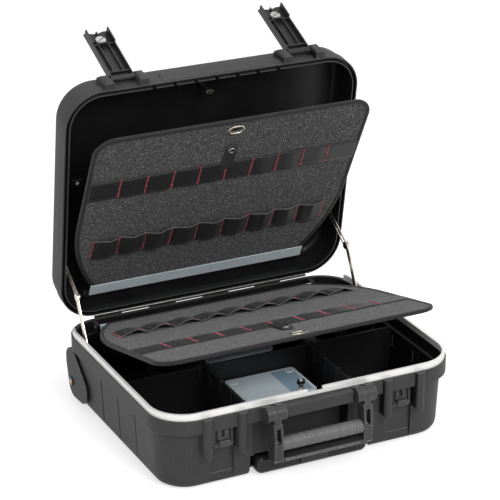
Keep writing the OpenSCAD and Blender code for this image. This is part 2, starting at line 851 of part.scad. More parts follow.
module lever_closed() {
    difference() {
        union() {
            // Outer face
            box(-lever_w / 2, lever_w / 2, lever_y0, lever_y0 + 2.5, lever_tip, latch_z - 3);
            // Side walls
            for (s = [-1, 1]) box(s * (lever_w / 2 - 1) - 1, s * (lever_w / 2 - 1) + 1,
                                  lever_y0, lever_y1, lever_tip + 4, latch_z);
            // Inner ribs and cross walls
            for (s = [-1, 1]) box(s * 8 - 1, s * 8 + 1, lever_y0, lever_y1 - 3,
                                  lock_z + 12, latch_z - 14);
            for (z = [lock_z + 10, latch_z - 14])
                box(-lever_w / 2, lever_w / 2, lever_y0, lever_y1 - 2, z, z + 2);
            // Housing walls and centre rib of the tip
            for (s = [-1, 1]) box(s * (lever_w / 2 - 1) - 1, s * (lever_w / 2 - 1) + 1,
                                  lever_y0, lever_y1 + 4, lever_tip + 4, lock_z + 12);
            box(-1, 1, lever_y0, lever_y1 - 3, lever_tip + 4, lock_z - lock_r);
            // Wing at the tip
            box(lever_w / 2 - 1, lever_w / 2 + 5, lever_y0, lever_y0 + 3, lever_tip + 4,
                lever_tip + 22);
            // Claw that snaps under the keeper hook
            box(-7, 7, lever_y0, lever_y1 + 1, lock_z + 10, lock_z + 13);
            // Collar of the lock and hub of the axle
            translate([0, lever_y0, lock_z]) along_y(lock_r + 2, 0, 6);
            translate([0, latch_y, latch_z]) on_x(5, -lever_w / 2, lever_w / 2);
        }
        translate([0, latch_y, latch_z]) on_x(latch_axle_r + fit, -30, 30);
        translate([0, lever_y0 - 1, lock_z]) along_y(lock_r + fit, 0, 20);
        // Concave finger end
        translate([0, lever_y0 - 1, lever_tip - 24]) along_y(27, 0, 5);
    }
}

module lever_place() {
    translate([0, latch_y, latch_z]) rotate([-lever_open, 0, 0])
        translate([0, -latch_y, -latch_z]) children();
}

module latch_lever(side) {
    color("dimgray") in_lid() translate([side * latch_x, 0, 0]) lever_place() lever_closed();
}

module latch_lock(side) {
    color("silver") in_lid() translate([side * latch_x, 0, 0]) lever_place()
        difference() {
            translate([0, lever_y0, lock_z]) along_y(lock_r, 0.3, 8);
            // Cross slot in the back and key slot in the face
            translate([0, lever_y0, lock_z]) {
                rotate([0, 35, 0]) box(-lock_r - 1, lock_r + 1, 6.4, 9, -0.9, 0.9);
                box(-0.6, 0.6, -1, 3, -3, 3);
            }
        }
}

module latch_lever_left() { latch_lever(-1); }
module latch_lever_right() { latch_lever(1); }
module latch_lock_left() { latch_lock(-1); }
module latch_lock_right() { latch_lock(1); }

// ---------------------------------------------------------------- stays
stay_lid_rest = [open_y(stay_lid[0], stay_lid[1]), open_z(stay_lid[0], stay_lid[1])];
stay_lower_len = norm(stay_stud - stay_base);
stay_reach = norm(stay_stud - stay_lid_rest);
stay_lower_a = atan2(stay_stud[1] - stay_base[1], stay_stud[0] - stay_base[0]);
stay_upper_a = atan2(stay_stud[1] - stay_lid_rest[1], stay_stud[0] - stay_lid_rest[0]);
stay_slot_from = 11;
inner_layer = stay_in;
outer_layer = stay_in + stay_t + stay_gap;

// Plate of constant width between two points of its own Y axis
module link_plate(len, r) {
    rotate([90, 0, 90]) linear_extrude(stay_t) {
        circle(r);
        translate([len, 0]) circle(r);
        translate([0, -r]) square([len, 2 * r]);
    }
}

module stay_lower(side) {
    color("silver") mirror([side < 0 ? 1 : 0, 0, 0])
        translate([outer_layer, stay_base[0], stay_base[1]]) rotate([stay_lower_a, 0, 0]) {
            difference() {
                link_plate(stay_lower_len, 4.8);
                translate([-1, 0, 0]) on_x(stay_pin_r + fit, 0, 5);
            }
            // Stud that runs in the slot of the upper link
            translate([0, stay_lower_len, 0]) {
                on_x(stay_pin_r, -stay_t - stay_gap - 0.3, 0.5);
                on_x(4.6, -stay_t - stay_gap - 1.4, -stay_t - stay_gap - 0.2);
                on_x(6.2, stay_t, stay_t + 0.7);
            }
        }
}

module stay_upper(side) {
    color("silver") mirror([side < 0 ? 1 : 0, 0, 0])
        translate([inner_layer, stay_lid_rest[0], stay_lid_rest[1]])
            rotate([stay_upper_a, 0, 0]) difference() {
                link_plate(stay_reach + 2, 5.4);
                translate([-1, 0, 0]) on_x(stay_pin_r + fit, 0, 5);
                translate([-1, 0, 0]) hull() {
                    translate([0, stay_reach + 0.5, 0]) on_x(stay_slot_r, 0, 5);
                    translate([0, stay_slot_from, 0]) on_x(stay_slot_r, 0, 5);
                }
            }
}

module stay_lower_left() { stay_lower(-1); }
module stay_lower_right() { stay_lower(1); }
module stay_upper_left() { stay_upper(-1); }
module stay_upper_right() { stay_upper(1); }

module stay_base_pins() {
    color("silver") both_sides() translate([0, stay_base[0], stay_base[1]]) {
        on_x(stay_pin_r, outer_layer - 0.2, half_w - 3.5);
        on_x(4.2, outer_layer + stay_t + 0.1, half_w - rim_in);
        on_x(3.6, outer_layer - 1.1, outer_layer - 0.1);
    }
}

module stay_lid_pins() {
    color("silver") in_lid() both_sides() translate([0, stay_lid[0], stay_lid[1]]) {
        on_x(stay_pin_r, inner_layer - 0.2, half_w - 4.5);
        on_x(4.2, inner_layer + stay_t + 0.1, half_w - wall - lid_step - 3.1);
        on_x(3.6, inner_layer - 1.1, inner_layer - 0.1);
    }
}

// ---------------------------------------------------------------- tool boards
// Board outline in board coordinates: X across, Y from the pivot to the free edge
module board_flank(side, w, inset) {
    translate([side * (w - board_arc_r + inset), board_arc_from])
        circle(board_arc_r - inset, $fn = 180);
    translate([-board_w / 2, board_arc_from]) square([board_w, board_len]);
}

module board_outline(inset) {
    w = board_w / 2 - inset;
    top = board_len - inset;
    intersection() {
        translate([0, board_start + inset - 100]) difference() {
            rounded_plate(w, top - board_start - inset + 100, board_corner_r - inset);
            translate([-board_w, -board_w * 2 + 100]) square([2 * board_w, 2 * board_w]);
        }
        board_flank(1, w, inset);
        board_flank(-1, w, inset);
    }
}

module plate(z0, z1) {
    translate([0, 0, z0]) linear_extrude(z1 - z0) children();
}

module eyelet_hole(grow = 0) {
    r = eyelet_hole_d / 2 + grow;
    translate([0, eyelet_at]) {
        for (s = [-1, 1]) translate([s * (eyelet_hole_w - eyelet_hole_d) / 2, 0]) circle(r);
        square([eyelet_hole_w - eyelet_hole_d, 2 * r], center = true);
    }
}

module board_panel() {
    plate(-panel_half, panel_half) difference() {
        board_outline(1.5);
        eyelet_hole(1);
    }
}

module board_edging() {
    difference() {
        plate(-edging_half, edging_half) difference() {
            board_outline(0);
            board_outline(7);
        }
        plate(-panel_half, panel_half) board_outline(1.5);
    }
}

module board_pockets() {
    count = floor(2 * (board_w / 2 - 24) / stitch_pitch);
    bulge = 9;
    r = (stitch_pitch * stitch_pitch / 4 + bulge * bulge) / (2 * bulge);
    intersection() {
        for (k = [0 : count - 1])
            translate([(k - (count - 1) / 2) * stitch_pitch, pocket_from, panel_half + bulge - r])
                along_y(r, 0, pocket_to - pocket_from);
        box(-count * stitch_pitch / 2 + 0.5, count * stitch_pitch / 2 - 0.5, pocket_from,
            pocket_to, panel_half, panel_half + 20);
    }
}

module board_band() {
    difference() {
        box(-board_w / 2 + 8, board_w / 2 - 8, band_from, band_to, panel_half, panel_half + 1.4);
        box(-10.5, 10.5, tab_from - 1, tab_to + 1, panel_half - 1, panel_half + 5);
    }
}

module board_eyelet() {
    difference() {
        union() {
            plate(-edging_half, edging_half) eyelet_hole(1);
            for (s = [-1, 1]) plate(s > 0 ? panel_half : -edging_half,
                                    s > 0 ? edging_half : -panel_half) eyelet_hole(5);
        }
        plate(-10, 10) eyelet_hole(0);
    }
}

module board_tab() {
    difference() {
        plate(panel_half, panel_half + 3.5) {
            translate([-10, tab_from + 10]) square([20, tab_to - tab_from - 20]);
            for (y = [tab_from + 10, tab_to - 10]) translate([0, y]) circle(10);
        }
        translate([0, tab_to - 11, 0]) cylinder(r = 3.5, h = 20);
    }
}

// Profile of a hinge strip: a bead at the pivot and a flange under the board
module hinge_strip() {
    side_profile(-strip_len / 2, strip_len / 2) {
        circle(strip_pin_r);
        translate([-strip_pin_r, 0]) square([1.5, edging_half + touch + 1.6]);
        translate([-strip_pin_r, edging_half + touch]) square([21, 1.6]);
    }
    on_x(strip_pin_r, -strip_len / 2 - 6, strip_len / 2 + 6);
}

module at_upper_board() {
    in_lid() translate([0, upper_pivot_y, upper_pivot_z]) rotate([180 + upper_lean, 0, 0])
        children();
}

module at_lower_board() {
    translate([0, lower_pivot_y, lower_pivot_z]) rotate([180 - lower_rise, 0, 0]) children();
}

module upper_board() { color("dimgray") at_upper_board() board_panel(); }
module upper_edging() { color("black") at_upper_board() board_edging(); }
module upper_pockets() { color("black") at_upper_board() board_pockets(); }
module upper_band() { color("black") at_upper_board() board_band(); }
module upper_eyelet() { color("gold") at_upper_board() board_eyelet(); }
module upper_tab() { color("black") at_upper_board() board_tab(); }
module upper_strip() { color("lightslategray") at_upper_board() hinge_strip(); }
module lower_board() { color("dimgray") at_lower_board() board_panel(); }
module lower_edging() { color("black") at_lower_board() board_edging(); }
module lower_pockets() { color("black") at_lower_board() mirror([0, 0, 1]) board_pockets(); }
module lower_band() { color("black") at_lower_board() mirror([0, 0, 1]) board_band(); }
module lower_eyelet() { color("gold") at_lower_board() board_eyelet(); }
module lower_tab() { color("black") at_lower_board() mirror([0, 0, 1]) board_tab(); }
module lower_strip() { color("lightslategray") at_lower_board() hinge_strip(); }

// ---------------------------------------------------------------- turn buttons
module turn_head(h) {
    linear_extrude(h) {
        for (s = [-1, 1]) translate([s * (button_len - button_w) / 2, 0]) circle(button_w / 2);
        square([button_len - button_w, button_w], center = true);
    }
}

lower_head_z = lower_pivot_z + edging_half + 0.6;

module lower_catch_bracket() {
    back = handle_recess_y + wall;
    color("gold") difference() {
        union() {
            // Spring leg on the back of the hand recess
            box(-4.5, 4.5, back, back + 1.4, lower_pivot_z - 30, lower_pivot_z - 3);
            translate([0, lower_button_y, lower_pivot_z - 16])
                cylinder(r = 3.6, h = lower_head_z - 0.3 - lower_pivot_z + 16);
            box(-3, 3, back, lower_button_y, lower_pivot_z - 16, lower_pivot_z - 6);
        }
        translate([0, lower_button_y, lower_pivot_z - 12]) cylinder(r = 1.8 + fit, h = 30);
    }
}

module lower_turn_button() {
    color("black") translate([0, lower_button_y, lower_head_z]) {
        turn_head(6);
        translate([0, 0, -8]) cylinder(r = 1.8, h = 9);
    }
}

upper_head_z = upper_pivot_z - edging_half - 0.6;

module upper_catch_post() {
    color("gold") in_lid() difference() {
        translate([0, upper_button_y, upper_head_z + 0.3])
            cylinder(r = 3.6, h = lid_top - wall - upper_head_z - 0.3);
        translate([0, upper_button_y, upper_head_z]) cylinder(r = 1.8 + fit, h = 12);
    }
}

module upper_turn_button() {
    color("gold") in_lid() translate([0, upper_button_y, upper_head_z]) {
        translate([0, 0, -5]) turn_head(5);
        translate([0, 0, -1]) cylinder(r = 1.8, h = 10);
    }
}

// ---------------------------------------------------------------- dividers and boxes
// Small clip over the top of a divider that runs along Y
module divider_clip() {
    box(-divider_t / 2 - 1.2, divider_t / 2 + 1.2, -1.5, 1.5, divider_top - 22,
        divider_top + 1.2);
}

module long_divider() {
    z0 = raised_floor + touch;
    for (s = [-1, 1], k = [0 : 3]) translate([0, s * (24 + 37.5 * k), 0]) divider_clip();
    difference() {
        side_profile(-divider_t / 2, divider_t / 2) polygon([
            [pad_back + touch, z0], [tub_in(tub_d, z0) - touch, z0],
            [tub_in(tub_d, wall_top_z) - touch, wall_top_z],
            [tub_in(tub_d, wall_top_z) - touch, divider_top],
            [pad_back + touch, divider_top]]);
        // Step over the mouth of the trolley channel
        box(-5, 5, -tub_d, cover_front + 8 + touch, 0, mouth_h + wall + touch);
        // Half-height slot for the cross divider
        box(-5, 5, -divider_t / 2 - touch, divider_t / 2 + touch,
            (divider_top + raised_floor) / 2, divider_top + 1);
    }
}

module long_dividers() {
    color("black") for (s = [-1, 1]) translate([s * divider_x, 0, 0]) long_divider();
}

module cross_divider() {
    z0 = floor_t + touch;
    z1 = edge_r + 6;
    mid = tub_in(tub_w, z1) - touch;
    top = tub_in(tub_w, wall_top_z) - touch;
    color("black") for (s = [-1, 1], e = [-1, 1])
        translate([s * divider_x + e * 8, 0, 0]) rotate(90) divider_clip();
    color("black") difference() {
        rotate([90, 0, 0]) translate([0, 0, -divider_t / 2]) linear_extrude(divider_t)
            polygon([[-mid + edge_r, z0], [mid - edge_r, z0], [mid, z1], [top, wall_top_z],
                     [top, divider_top], [-top, divider_top], [-top, wall_top_z], [-mid, z1]]);
        // Notch over the raised floor
        box(-channel_w / 2 - wall - touch, channel_w / 2 + wall + touch, -5, 5, 0,
            raised_floor + touch);
        for (s = [-1, 1]) box(s * divider_x - divider_t / 2 - touch,
                              s * divider_x + divider_t / 2 + touch, -5, 5,
                              0, (divider_top + raised_floor) / 2 + touch);
    }
}

// Tray with a partition at each place in `walls` along X
module box_tray(walls) {
    difference() {
        plate(0, box_h - 2.5) rounded_plate(box_w / 2, box_d / 2, 6);
        plate(box_wall, box_h) difference() {
            rounded_plate(box_w / 2 - box_wall, box_d / 2 - box_wall, 6 - box_wall);
            for (x = walls) translate([x - 0.6, -box_d]) square([1.2, 2 * box_d]);
        }
    }
}

module box_cover() {
    plate(box_h - 2.5 + touch, box_h) rounded_plate(box_w / 2, box_d / 2, 6);
    for (s = [-1, 1]) translate([s * (box_w / 2 - 11), box_d / 2 - 11, box_h - 1])
        cylinder(r = 7, h = 1.8);
}

module at_front_box() { translate([0, front_box_y, raised_floor]) children(); }
module at_rear_box() { translate([rear_box_x, rear_box_y, raised_floor]) children(); }
module front_box_tray() { color("lightsteelblue") at_front_box() box_tray([17]); }
module front_box_lid() { color("lightsteelblue") at_front_box() box_cover(); }
module rear_box_tray() { color("lightsteelblue") at_rear_box() box_tray([-25, 14]); }
module rear_box_lid() { color("lightsteelblue") at_rear_box() box_cover(); }

base_shell();
trolley_tunnel();
wheel_housings();
divider_guides();
aluminium_frame();
trolley_cover();
trolley_sleeves();
wheel_bolts();
latch_keepers();
handle_brackets();
handle_pins();
hinge_base_leaf();
hinge_pin();
stay_base_pins();
long_dividers();
cross_divider();
front_box_tray();
rear_box_tray();
lower_catch_bracket();
front_box_lid();
rear_box_lid();
lower_turn_button();
lower_strip();
lower_board();
lower_edging();
lower_pockets();
lower_band();
lower_eyelet();
lower_tab();
lid_shell();
hinge_lid_leaf();
latch_axles();
stay_lid_pins();
upper_catch_post();
upper_turn_button();
latch_lever_left();
latch_lever_right();
latch_lock_left();
latch_lock_right();
upper_strip();
upper_board();
upper_edging();
upper_pockets();
upper_band();
upper_eyelet();
upper_tab();
stay_lower_left();
stay_lower_right();
stay_upper_left();
stay_upper_right();
handle_frame();
handle_grip();
trolley_mid_tubes();
trolley_inner_tubes();
trolley_grip();
push_button();
wheel_hub_left();
wheel_hub_right();
wheel_tyre_left();
wheel_tyre_right();
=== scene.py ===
import math
import random

import bmesh
import bpy
from mathutils import Matrix, Vector

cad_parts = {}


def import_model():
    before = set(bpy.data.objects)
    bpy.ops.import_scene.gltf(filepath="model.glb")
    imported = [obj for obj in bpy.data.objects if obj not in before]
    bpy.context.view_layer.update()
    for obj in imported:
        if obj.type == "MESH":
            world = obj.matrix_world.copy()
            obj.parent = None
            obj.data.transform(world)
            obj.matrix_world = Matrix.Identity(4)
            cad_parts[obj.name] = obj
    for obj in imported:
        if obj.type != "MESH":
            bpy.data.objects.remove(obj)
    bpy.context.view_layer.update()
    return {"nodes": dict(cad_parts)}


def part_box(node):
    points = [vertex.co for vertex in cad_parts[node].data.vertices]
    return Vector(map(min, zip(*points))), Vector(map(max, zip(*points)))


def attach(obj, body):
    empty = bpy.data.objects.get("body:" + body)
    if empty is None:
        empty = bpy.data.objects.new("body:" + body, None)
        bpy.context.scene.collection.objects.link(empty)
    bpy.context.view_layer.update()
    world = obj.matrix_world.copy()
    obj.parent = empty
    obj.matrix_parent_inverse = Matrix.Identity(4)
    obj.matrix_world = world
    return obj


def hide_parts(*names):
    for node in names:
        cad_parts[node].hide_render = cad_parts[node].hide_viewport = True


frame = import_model()
NODE = frame["nodes"]
MM = 0.001  # the scene is in metres; sizes written in millimetres are scaled by this
rng = random.Random(7)


# ------------------------------------------------------------------ materials
class Shade:
    """A procedural material under construction, laid out in object coordinates."""

    def __init__(self, name, color, rough, metallic=0.0, spec=0.5):
        self.m = bpy.data.materials.new(name)
        self.m.use_nodes = True
        self.t = self.m.node_tree
        self.t.nodes.clear()
        out = self.t.nodes.new("ShaderNodeOutputMaterial")
        self.p = self.t.nodes.new("ShaderNodeBsdfPrincipled")
        self.p.inputs["Base Color"].default_value = (*color, 1)
        self.p.inputs["Roughness"].default_value = rough
        self.p.inputs["Metallic"].default_value = metallic
        self.p.inputs["Specular IOR Level"].default_value = spec
        self.link(self.p.outputs[0], out.inputs[0])
        self.coord = self.t.nodes.new("ShaderNodeTexCoord")
        self.normal = None

    def link(self, a, b):
        self.t.links.new(a, b)

    def stretched(self, scale):
        """Object coordinates scaled along each axis, for streaks."""
        n = self.t.nodes.new("ShaderNodeMapping")
        n.inputs["Scale"].default_value = scale
        self.link(self.coord.outputs["Object"], n.inputs["Vector"])
        return n.outputs[0]

    def noise(self, scale, detail=2.0, rough=0.5, vec=None, distortion=0.0):
        n = self.t.nodes.new("ShaderNodeTexNoise")
        n.inputs["Scale"].default_value = scale
        n.inputs["Detail"].default_value = detail
        n.inputs["Roughness"].default_value = rough
        n.inputs["Distortion"].default_value = distortion
        self.link(vec or self.coord.outputs["Object"], n.inputs["Vector"])
        return n.outputs["Fac"]

    def wave(self, scale, direction, distortion):
        n = self.t.nodes.new("ShaderNodeTexWave")
        n.wave_type = "BANDS"
        n.bands_direction = direction
        n.wave_profile = "SIN"
        n.inputs["Scale"].default_value = scale
        n.inputs["Distortion"].default_value = distortion
        self.link(self.coord.outputs["Object"], n.inputs["Vector"])
        return n.outputs["Fac"]

    def ramp(self, fac, stops):
        """Colour or grey ramp: stops are (position, colour or grey)."""
        n = self.t.nodes.new("ShaderNodeValToRGB")
        e = n.color_ramp.elements
        while len(e) < len(stops):
            e.new(0.5)
        for k, (place, c) in enumerate(stops):
            e[k].position = place
            e[k].color = (*c, 1) if hasattr(c, "__len__") else (c, c, c, 1)
        self.link(fac, n.inputs[0])
        return n.outputs[0]

    def math(self, operation, a, b=0.0):
        n = self.t.nodes.new("ShaderNodeMath")
        n.operation = operation
        for k, v in enumerate((a, b)):
            if isinstance(v, (int, float)):
                n.inputs[k].default_value = v
            else:
                self.link(v, n.inputs[k])
        return n.outputs[0]

    def vector(self, operation, a, b=(0.0, 0.0, 0.0)):
        """Vector sum: gives a number for a dot product or length, else a vector."""
        n = self.t.nodes.new("ShaderNodeVectorMath")
        n.operation = operation
        for k, v in enumerate((a, b)):
            if isinstance(v, tuple):
                n.inputs[k].default_value = v
            else:
                self.link(v, n.inputs[k])
        return n.outputs["Value" if operation in ("DOT_PRODUCT", "LENGTH") else "Vector"]

    def axes(self):
        """The object coordinates one by one."""
        n = self.t.nodes.new("ShaderNodeSeparateXYZ")
        self.link(self.coord.outputs["Object"], n.inputs[0])
        return n.outputs

    def bump(self, height, distance, strength=1.0):
        n = self.t.nodes.new("ShaderNodeBump")
        n.inputs["Distance"].default_value = distance
        n.inputs["Strength"].default_value = strength
        self.link(height, n.inputs["Height"])
        if self.normal is not None:
            self.link(self.normal, n.inputs["Normal"])
        self.normal = n.outputs[0]
        self.link(self.normal, self.p.inputs["Normal"])

    def bevel(self, radius):
        n = self.t.nodes.new("ShaderNodeBevel")
        n.samples = 4
        n.inputs["Radius"].default_value = radius
        return n.outputs[0]

    def soften(self, radius):
        """Rounds the look of sharp edges. Comes before any bump."""
        self.normal = self.bevel(radius)
        self.link(self.normal, self.p.inputs["Normal"])

    def color(self, out):
        self.link(out, self.p.inputs["Base Color"])

    def rough(self, fac, low, high):
        n = self.t.nodes.new("ShaderNodeMapRange")
        n.inputs["To Min"].default_value = low
        n.inputs["To Max"].default_value = high
        self.link(fac, n.inputs["Value"])
        self.link(n.outputs[0], self.p.inputs["Roughness"])

    def sheen(self, weight, rough=None):
        self.p.inputs["Sheen Weight"].default_value = weight
        if rough is not None:
            self.p.inputs["Sheen Roughness"].default_value = rough


def edge_wear_and_highlight(s, width, low, high):
    """1 near a sharp outer or inner edge, broken up by noise: partly wear, partly a painted
    highlight on the edge.
    """
    geo = s.t.nodes.new("ShaderNodeNewGeometry")
    dot = s.vector("DOT_PRODUCT", s.bevel(width), geo.outputs["True Normal"])
    turn = s.math("SUBTRACT", 1.0, dot)
    wear_and_highlight = s.math("MULTIPLY", turn, s.noise(55.0, 4.0, 0.65))
    return s.ramp(wear_and_highlight, [(low, 0.0), (high, 1.0)])


def mix(s, fac, a, b):
    """Colour a where fac is 0 and b where it is 1."""
    n = s.t.nodes.new("ShaderNodeMix")
    n.data_type = "RGBA"
    s.link(fac, n.inputs["Factor"])
    for key, v in (("A", a), ("B", b)):
        socket = [i for i in n.inputs if i.name == key and i.type == "RGBA"][0]
        if hasattr(v, "links"):
            s.link(v, socket)
        else:
            socket.default_value = (*v, 1)
    return [o for o in n.outputs if o.type == "RGBA"][0]


def brighter(color, times):
    return tuple(times * c for c in color)


def grained_plastic(name, dark, light, rough, grain=900.0, depth=0.00006,
                    soften=0.0007, wear_and_highlight=(0.10, 0.10, 0.10)):
    """Moulded plastic with a fine grain, light specks painted as glints, and paler edges that
    are partly wear and partly a painted highlight.
    """
    s = Shade(name, light, rough, spec=0.26)
    s.soften(soften)
    base = s.ramp(s.noise(9.0, 3.0), [(0.3, dark), (0.75, light)])
    # light specks: painted glints on the grain
    speck = s.ramp(s.noise(grain * 0.7, 2.0, 0.7), [(0.42, 0.0), (0.70, 1.0)])
    base = mix(s, s.math("MULTIPLY", speck, 0.35), base, brighter(light, 2.2))
    # paler edges: partly wear, partly a painted highlight on the edges
    s.color(mix(s, edge_wear_and_highlight(s, 0.0012, 0.02, 0.16), base, wear_and_highlight))
    s.rough(s.noise(14.0, 4.0, 0.6), rough - 0.05, rough + 0.09)
    s.bump(s.noise(grain, 2.0, 0.6), depth, 0.6)
    return s.m


def shell_plastic(name, dark, light, centre):
    """Grained outside and smooth inside, the inside painted blacker as shade, told apart by
    which way a wall faces.
    """
    inner_rough, outer_rough = 0.30, 0.5
    s = Shade(name, light, outer_rough, spec=0.25)
    s.soften(0.0007)
    away = s.vector("SUBTRACT", s.coord.outputs["Object"], centre)
    faces_out = s.vector("DOT_PRODUCT", away, s.coord.outputs["Normal"])
    outside = s.ramp(s.math("ADD", faces_out, 0.5), [(0.499, 0.0), (0.501, 1.0)])
    outer = s.ramp(s.noise(7.0, 4.0, 0.6), [(0.3, dark), (0.75, light)])
    # light specks: painted glints on the grain
    speck = s.ramp(s.noise(760.0, 2.0, 0.75), [(0.40, 0.0), (0.72, 1.0)])
    outer = mix(s, s.math("MULTIPLY", speck, 0.45), outer, brighter(light, 2.4))
    scuff = s.ramp(s.noise(38.0, 6.0, 0.8, s.stretched((1, 1, 5))),
                   [(0.66, 0.0), (0.78, 0.6)])
    outer = mix(s, scuff, outer, (0.055, 0.055, 0.055))
    # paler edges: partly wear, partly a painted highlight on the edges
    outer = mix(s, edge_wear_and_highlight(s, 0.0016, 0.02, 0.14), outer, (0.12, 0.12, 0.12))
    # inside colour: painted shade, blacker than the outside
    inner = s.ramp(s.noise(16.0, 4.0, 0.6), [(0.3, 0.0065), (0.7, 0.0115)])
    s.color(mix(s, outside, inner, outer))
    rough = s.math("MULTIPLY", outside, outer_rough - inner_rough)
    rough = s.math("ADD", inner_rough, rough)
    rough = s.math("ADD", rough, s.math("MULTIPLY", s.noise(14.0, 4.0, 0.6), 0.12))
    s.link(rough, s.p.inputs["Roughness"])
    s.bump(s.math("MULTIPLY", s.noise(900.0, 2.0, 0.6), outside), 0.00008, 0.7)
    return s.m


def metal(name, color, rough, streak, spread, tone=0.85, metallic=1.0):
    """Metal with streaks: tone is the share of the colour that the dark ones keep."""
    s = Shade(name, color, rough, metallic=metallic)
    s.soften(0.0003)
    fine = s.noise(260.0, 3.0, 0.6, s.stretched(streak))
    s.color(s.ramp(fine, [(0.3, brighter(color, tone)), (0.7, color)]))
    s.rough(fine, rough - spread / 2, rough + spread)
    s.bump(fine, 0.00002, 0.4)
    return s.m


def felt_material():
    """Black felt with pale flecks."""
    s = Shade("speckled_felt", (0.05, 0.05, 0.05), 0.95, spec=0.15)
    fibre = s.noise(900.0, 2.0, 0.8, distortion=0.6)
    fleck = s.noise(430.0, 2.0, 0.6, distortion=0.8)
    mixed = s.math("ADD", s.math("MULTIPLY", fibre, 0.45), s.math("MULTIPLY", fleck, 0.55))
    s.color(s.ramp(mixed, [(0.41, 0.002), (0.48, 0.008), (0.53, 0.031), (0.60, 0.19)]))
    s.bump(mixed, 0.0008, 0.9)
    s.sheen(0.2, 0.6)
    return s.m


def woven_material(name, dark, light, pitch, rough=0.8, sheen=0.15, spec=0.25):
    """Ribs across the tape with a fine cross weave; dark and light are greys."""
    s = Shade(name, (light, light, light), rough, spec=spec)
    full_turn = 6.283
    ribs = 1.0 / pitch / full_turn
    warp = s.wave(ribs, "X", 0.4)
    weft = s.wave(ribs * 0.8, "Z", 0.4)
    weave = s.math("MULTIPLY", s.math("ADD", warp, 0.35), s.math("ADD", weft, 0.35))
    cloud = s.noise(60.0, 3.0, 0.6)
    mixed = s.math("ADD", s.math("MULTIPLY", weave, 0.5), s.math("MULTIPLY", cloud, 0.5))
    s.color(s.ramp(mixed, [(0.25, dark), (0.8, light)]))
    s.bump(weave, 0.00018, 0.6)
    s.sheen(sheen, 0.5)
    return s.m


def strip_material():
    s = Shade("grey_blue_vinyl", (0.50, 0.57, 0.60), 0.38)
    s.color(s.ramp(s.noise(18.0, 3.0), [(0.3, (0.50, 0.58, 0.61)), (0.7, (0.60, 0.68, 0.71))]))
    s.bump(s.noise(240.0, 2.0), 0.00005, 0.5)
    s.p.inputs["Coat Weight"].default_value = 0.2
    return s.m


MILKY = (0.84, 0.92, 0.97)


def tray_material():
    s = Shade("milky_blue_tray", MILKY, 0.20)
    s.color(s.ramp(s.noise(25.0, 2.0), [(0.3, (0.80, 0.89, 0.95)), (0.7, (0.88, 0.95, 0.98))]))
    s.p.inputs["Alpha"].default_value = 0.96
    s.bump(s.noise(90.0, 2.0), 0.0001, 0.3)
    return s.m


# Covers of the parts boxes, in metres from the middle of the cover
COVER_HALF = 0.060                      # half the width that the tones are laid over
RIM_X, RIM_Y = 0.0545, 0.0385           # where the paler rim begins
CATCH_X, CATCH_Y = 0.049, 0.033         # middles of the two round catches
# pale lines painted where divider walls lie under the cover: painted light
PAINTED_DIVIDER, CATCH = (0.93, 0.97, 0.99), (0.93, 0.98, 1.0)


def cover_material(name, middle, walls, tones):
    """Translucent cover with the compartments and their walls painted on it, as painted light
    and shade of what lies under it.
    """
    s = Shade(name, MILKY, 0.18)
    x, y = s.axes()["X"], s.axes()["Y"]
    width = 2 * COVER_HALF
    along_x = s.math("MULTIPLY", s.math("SUBTRACT", x, middle[0] - COVER_HALF), 1 / width)
    stops = [(0.0, tones[0])]
    for k, wall in enumerate(walls):
        u = (wall - middle[0] + COVER_HALF) / width
        stops += [(u - 0.012, tones[k]), (u - 0.008, PAINTED_DIVIDER),
                  (u + 0.004, PAINTED_DIVIDER), (u + 0.008, tones[k + 1])]
    waver = s.math("MULTIPLY", s.noise(30.0, 2.0), 0.004)
    inside = s.ramp(s.math("ADD", along_x, waver), stops)
    off_y = s.math("ABSOLUTE", s.math("SUBTRACT", y, middle[1]))
    off_x = s.math("ABSOLUTE", s.math("SUBTRACT", x, middle[0]))
    past = s.math("MAXIMUM", s.math("SUBTRACT", off_y, RIM_Y),
                  s.math("SUBTRACT", off_x, RIM_X))
    rim = s.ramp(s.math("ADD", s.math("MULTIPLY", past, 100.0), 0.5),
                 [(0.46, 0.0), (0.54, 1.0)])
    edge = s.ramp(s.noise(25.0, 2.0), [(0.3, (0.74, 0.84, 0.91)), (0.7, (0.84, 0.92, 0.96))])
    dx = s.math("SUBTRACT", off_x, CATCH_X)
    dy = s.math("SUBTRACT", y, middle[1] + CATCH_Y)
    reach = s.math("SQRT", s.math("ADD", s.math("MULTIPLY", dx, dx),
                                  s.math("MULTIPLY", dy, dy)))
    catch = s.ramp(s.math("MULTIPLY", reach, 100.0),
                   [(0.30, 0.35), (0.45, 0.5), (0.55, 1.0), (0.70, 1.0), (0.76, 0.0)])
    s.color(mix(s, catch, mix(s, rim, inside, edge), CATCH))
    s.p.inputs["Alpha"].default_value = 0.93
    s.bump(s.noise(90.0, 2.0), 0.0001, 0.3)
    return s.m


def rubber_material():
    s = Shade("matt_rubber", (0.012, 0.012, 0.012), 0.75, spec=0.3)
    s.soften(0.0008)
    s.color(s.ramp(s.noise(80.0, 4.0), [(0.3, 0.010), (0.7, 0.017)]))
    s.bump(s.noise(700.0, 3.0), 0.0001, 0.6)
    return s.m


def thread_material():
    s = Shade("red_thread", (0.55, 0.03, 0.07), 0.6, spec=0.3)
    # the pale pink stop is a painted highlight on the thread
    s.color(s.ramp(s.noise(420.0, 2.0), [(0.35, (0.34, 0.008, 0.03)),
                                         (0.55, (0.62, 0.03, 0.08)),
                                         (0.7, (0.85, 0.22, 0.30))]))
    s.bump(s.noise(2500.0, 2.0), 0.0001, 0.6)
    s.sheen(0.3)
    return s.m


WHEEL_AXIS = (0.0, 0.1685, 0.034)       # a point on the axis of both wheels, in metres


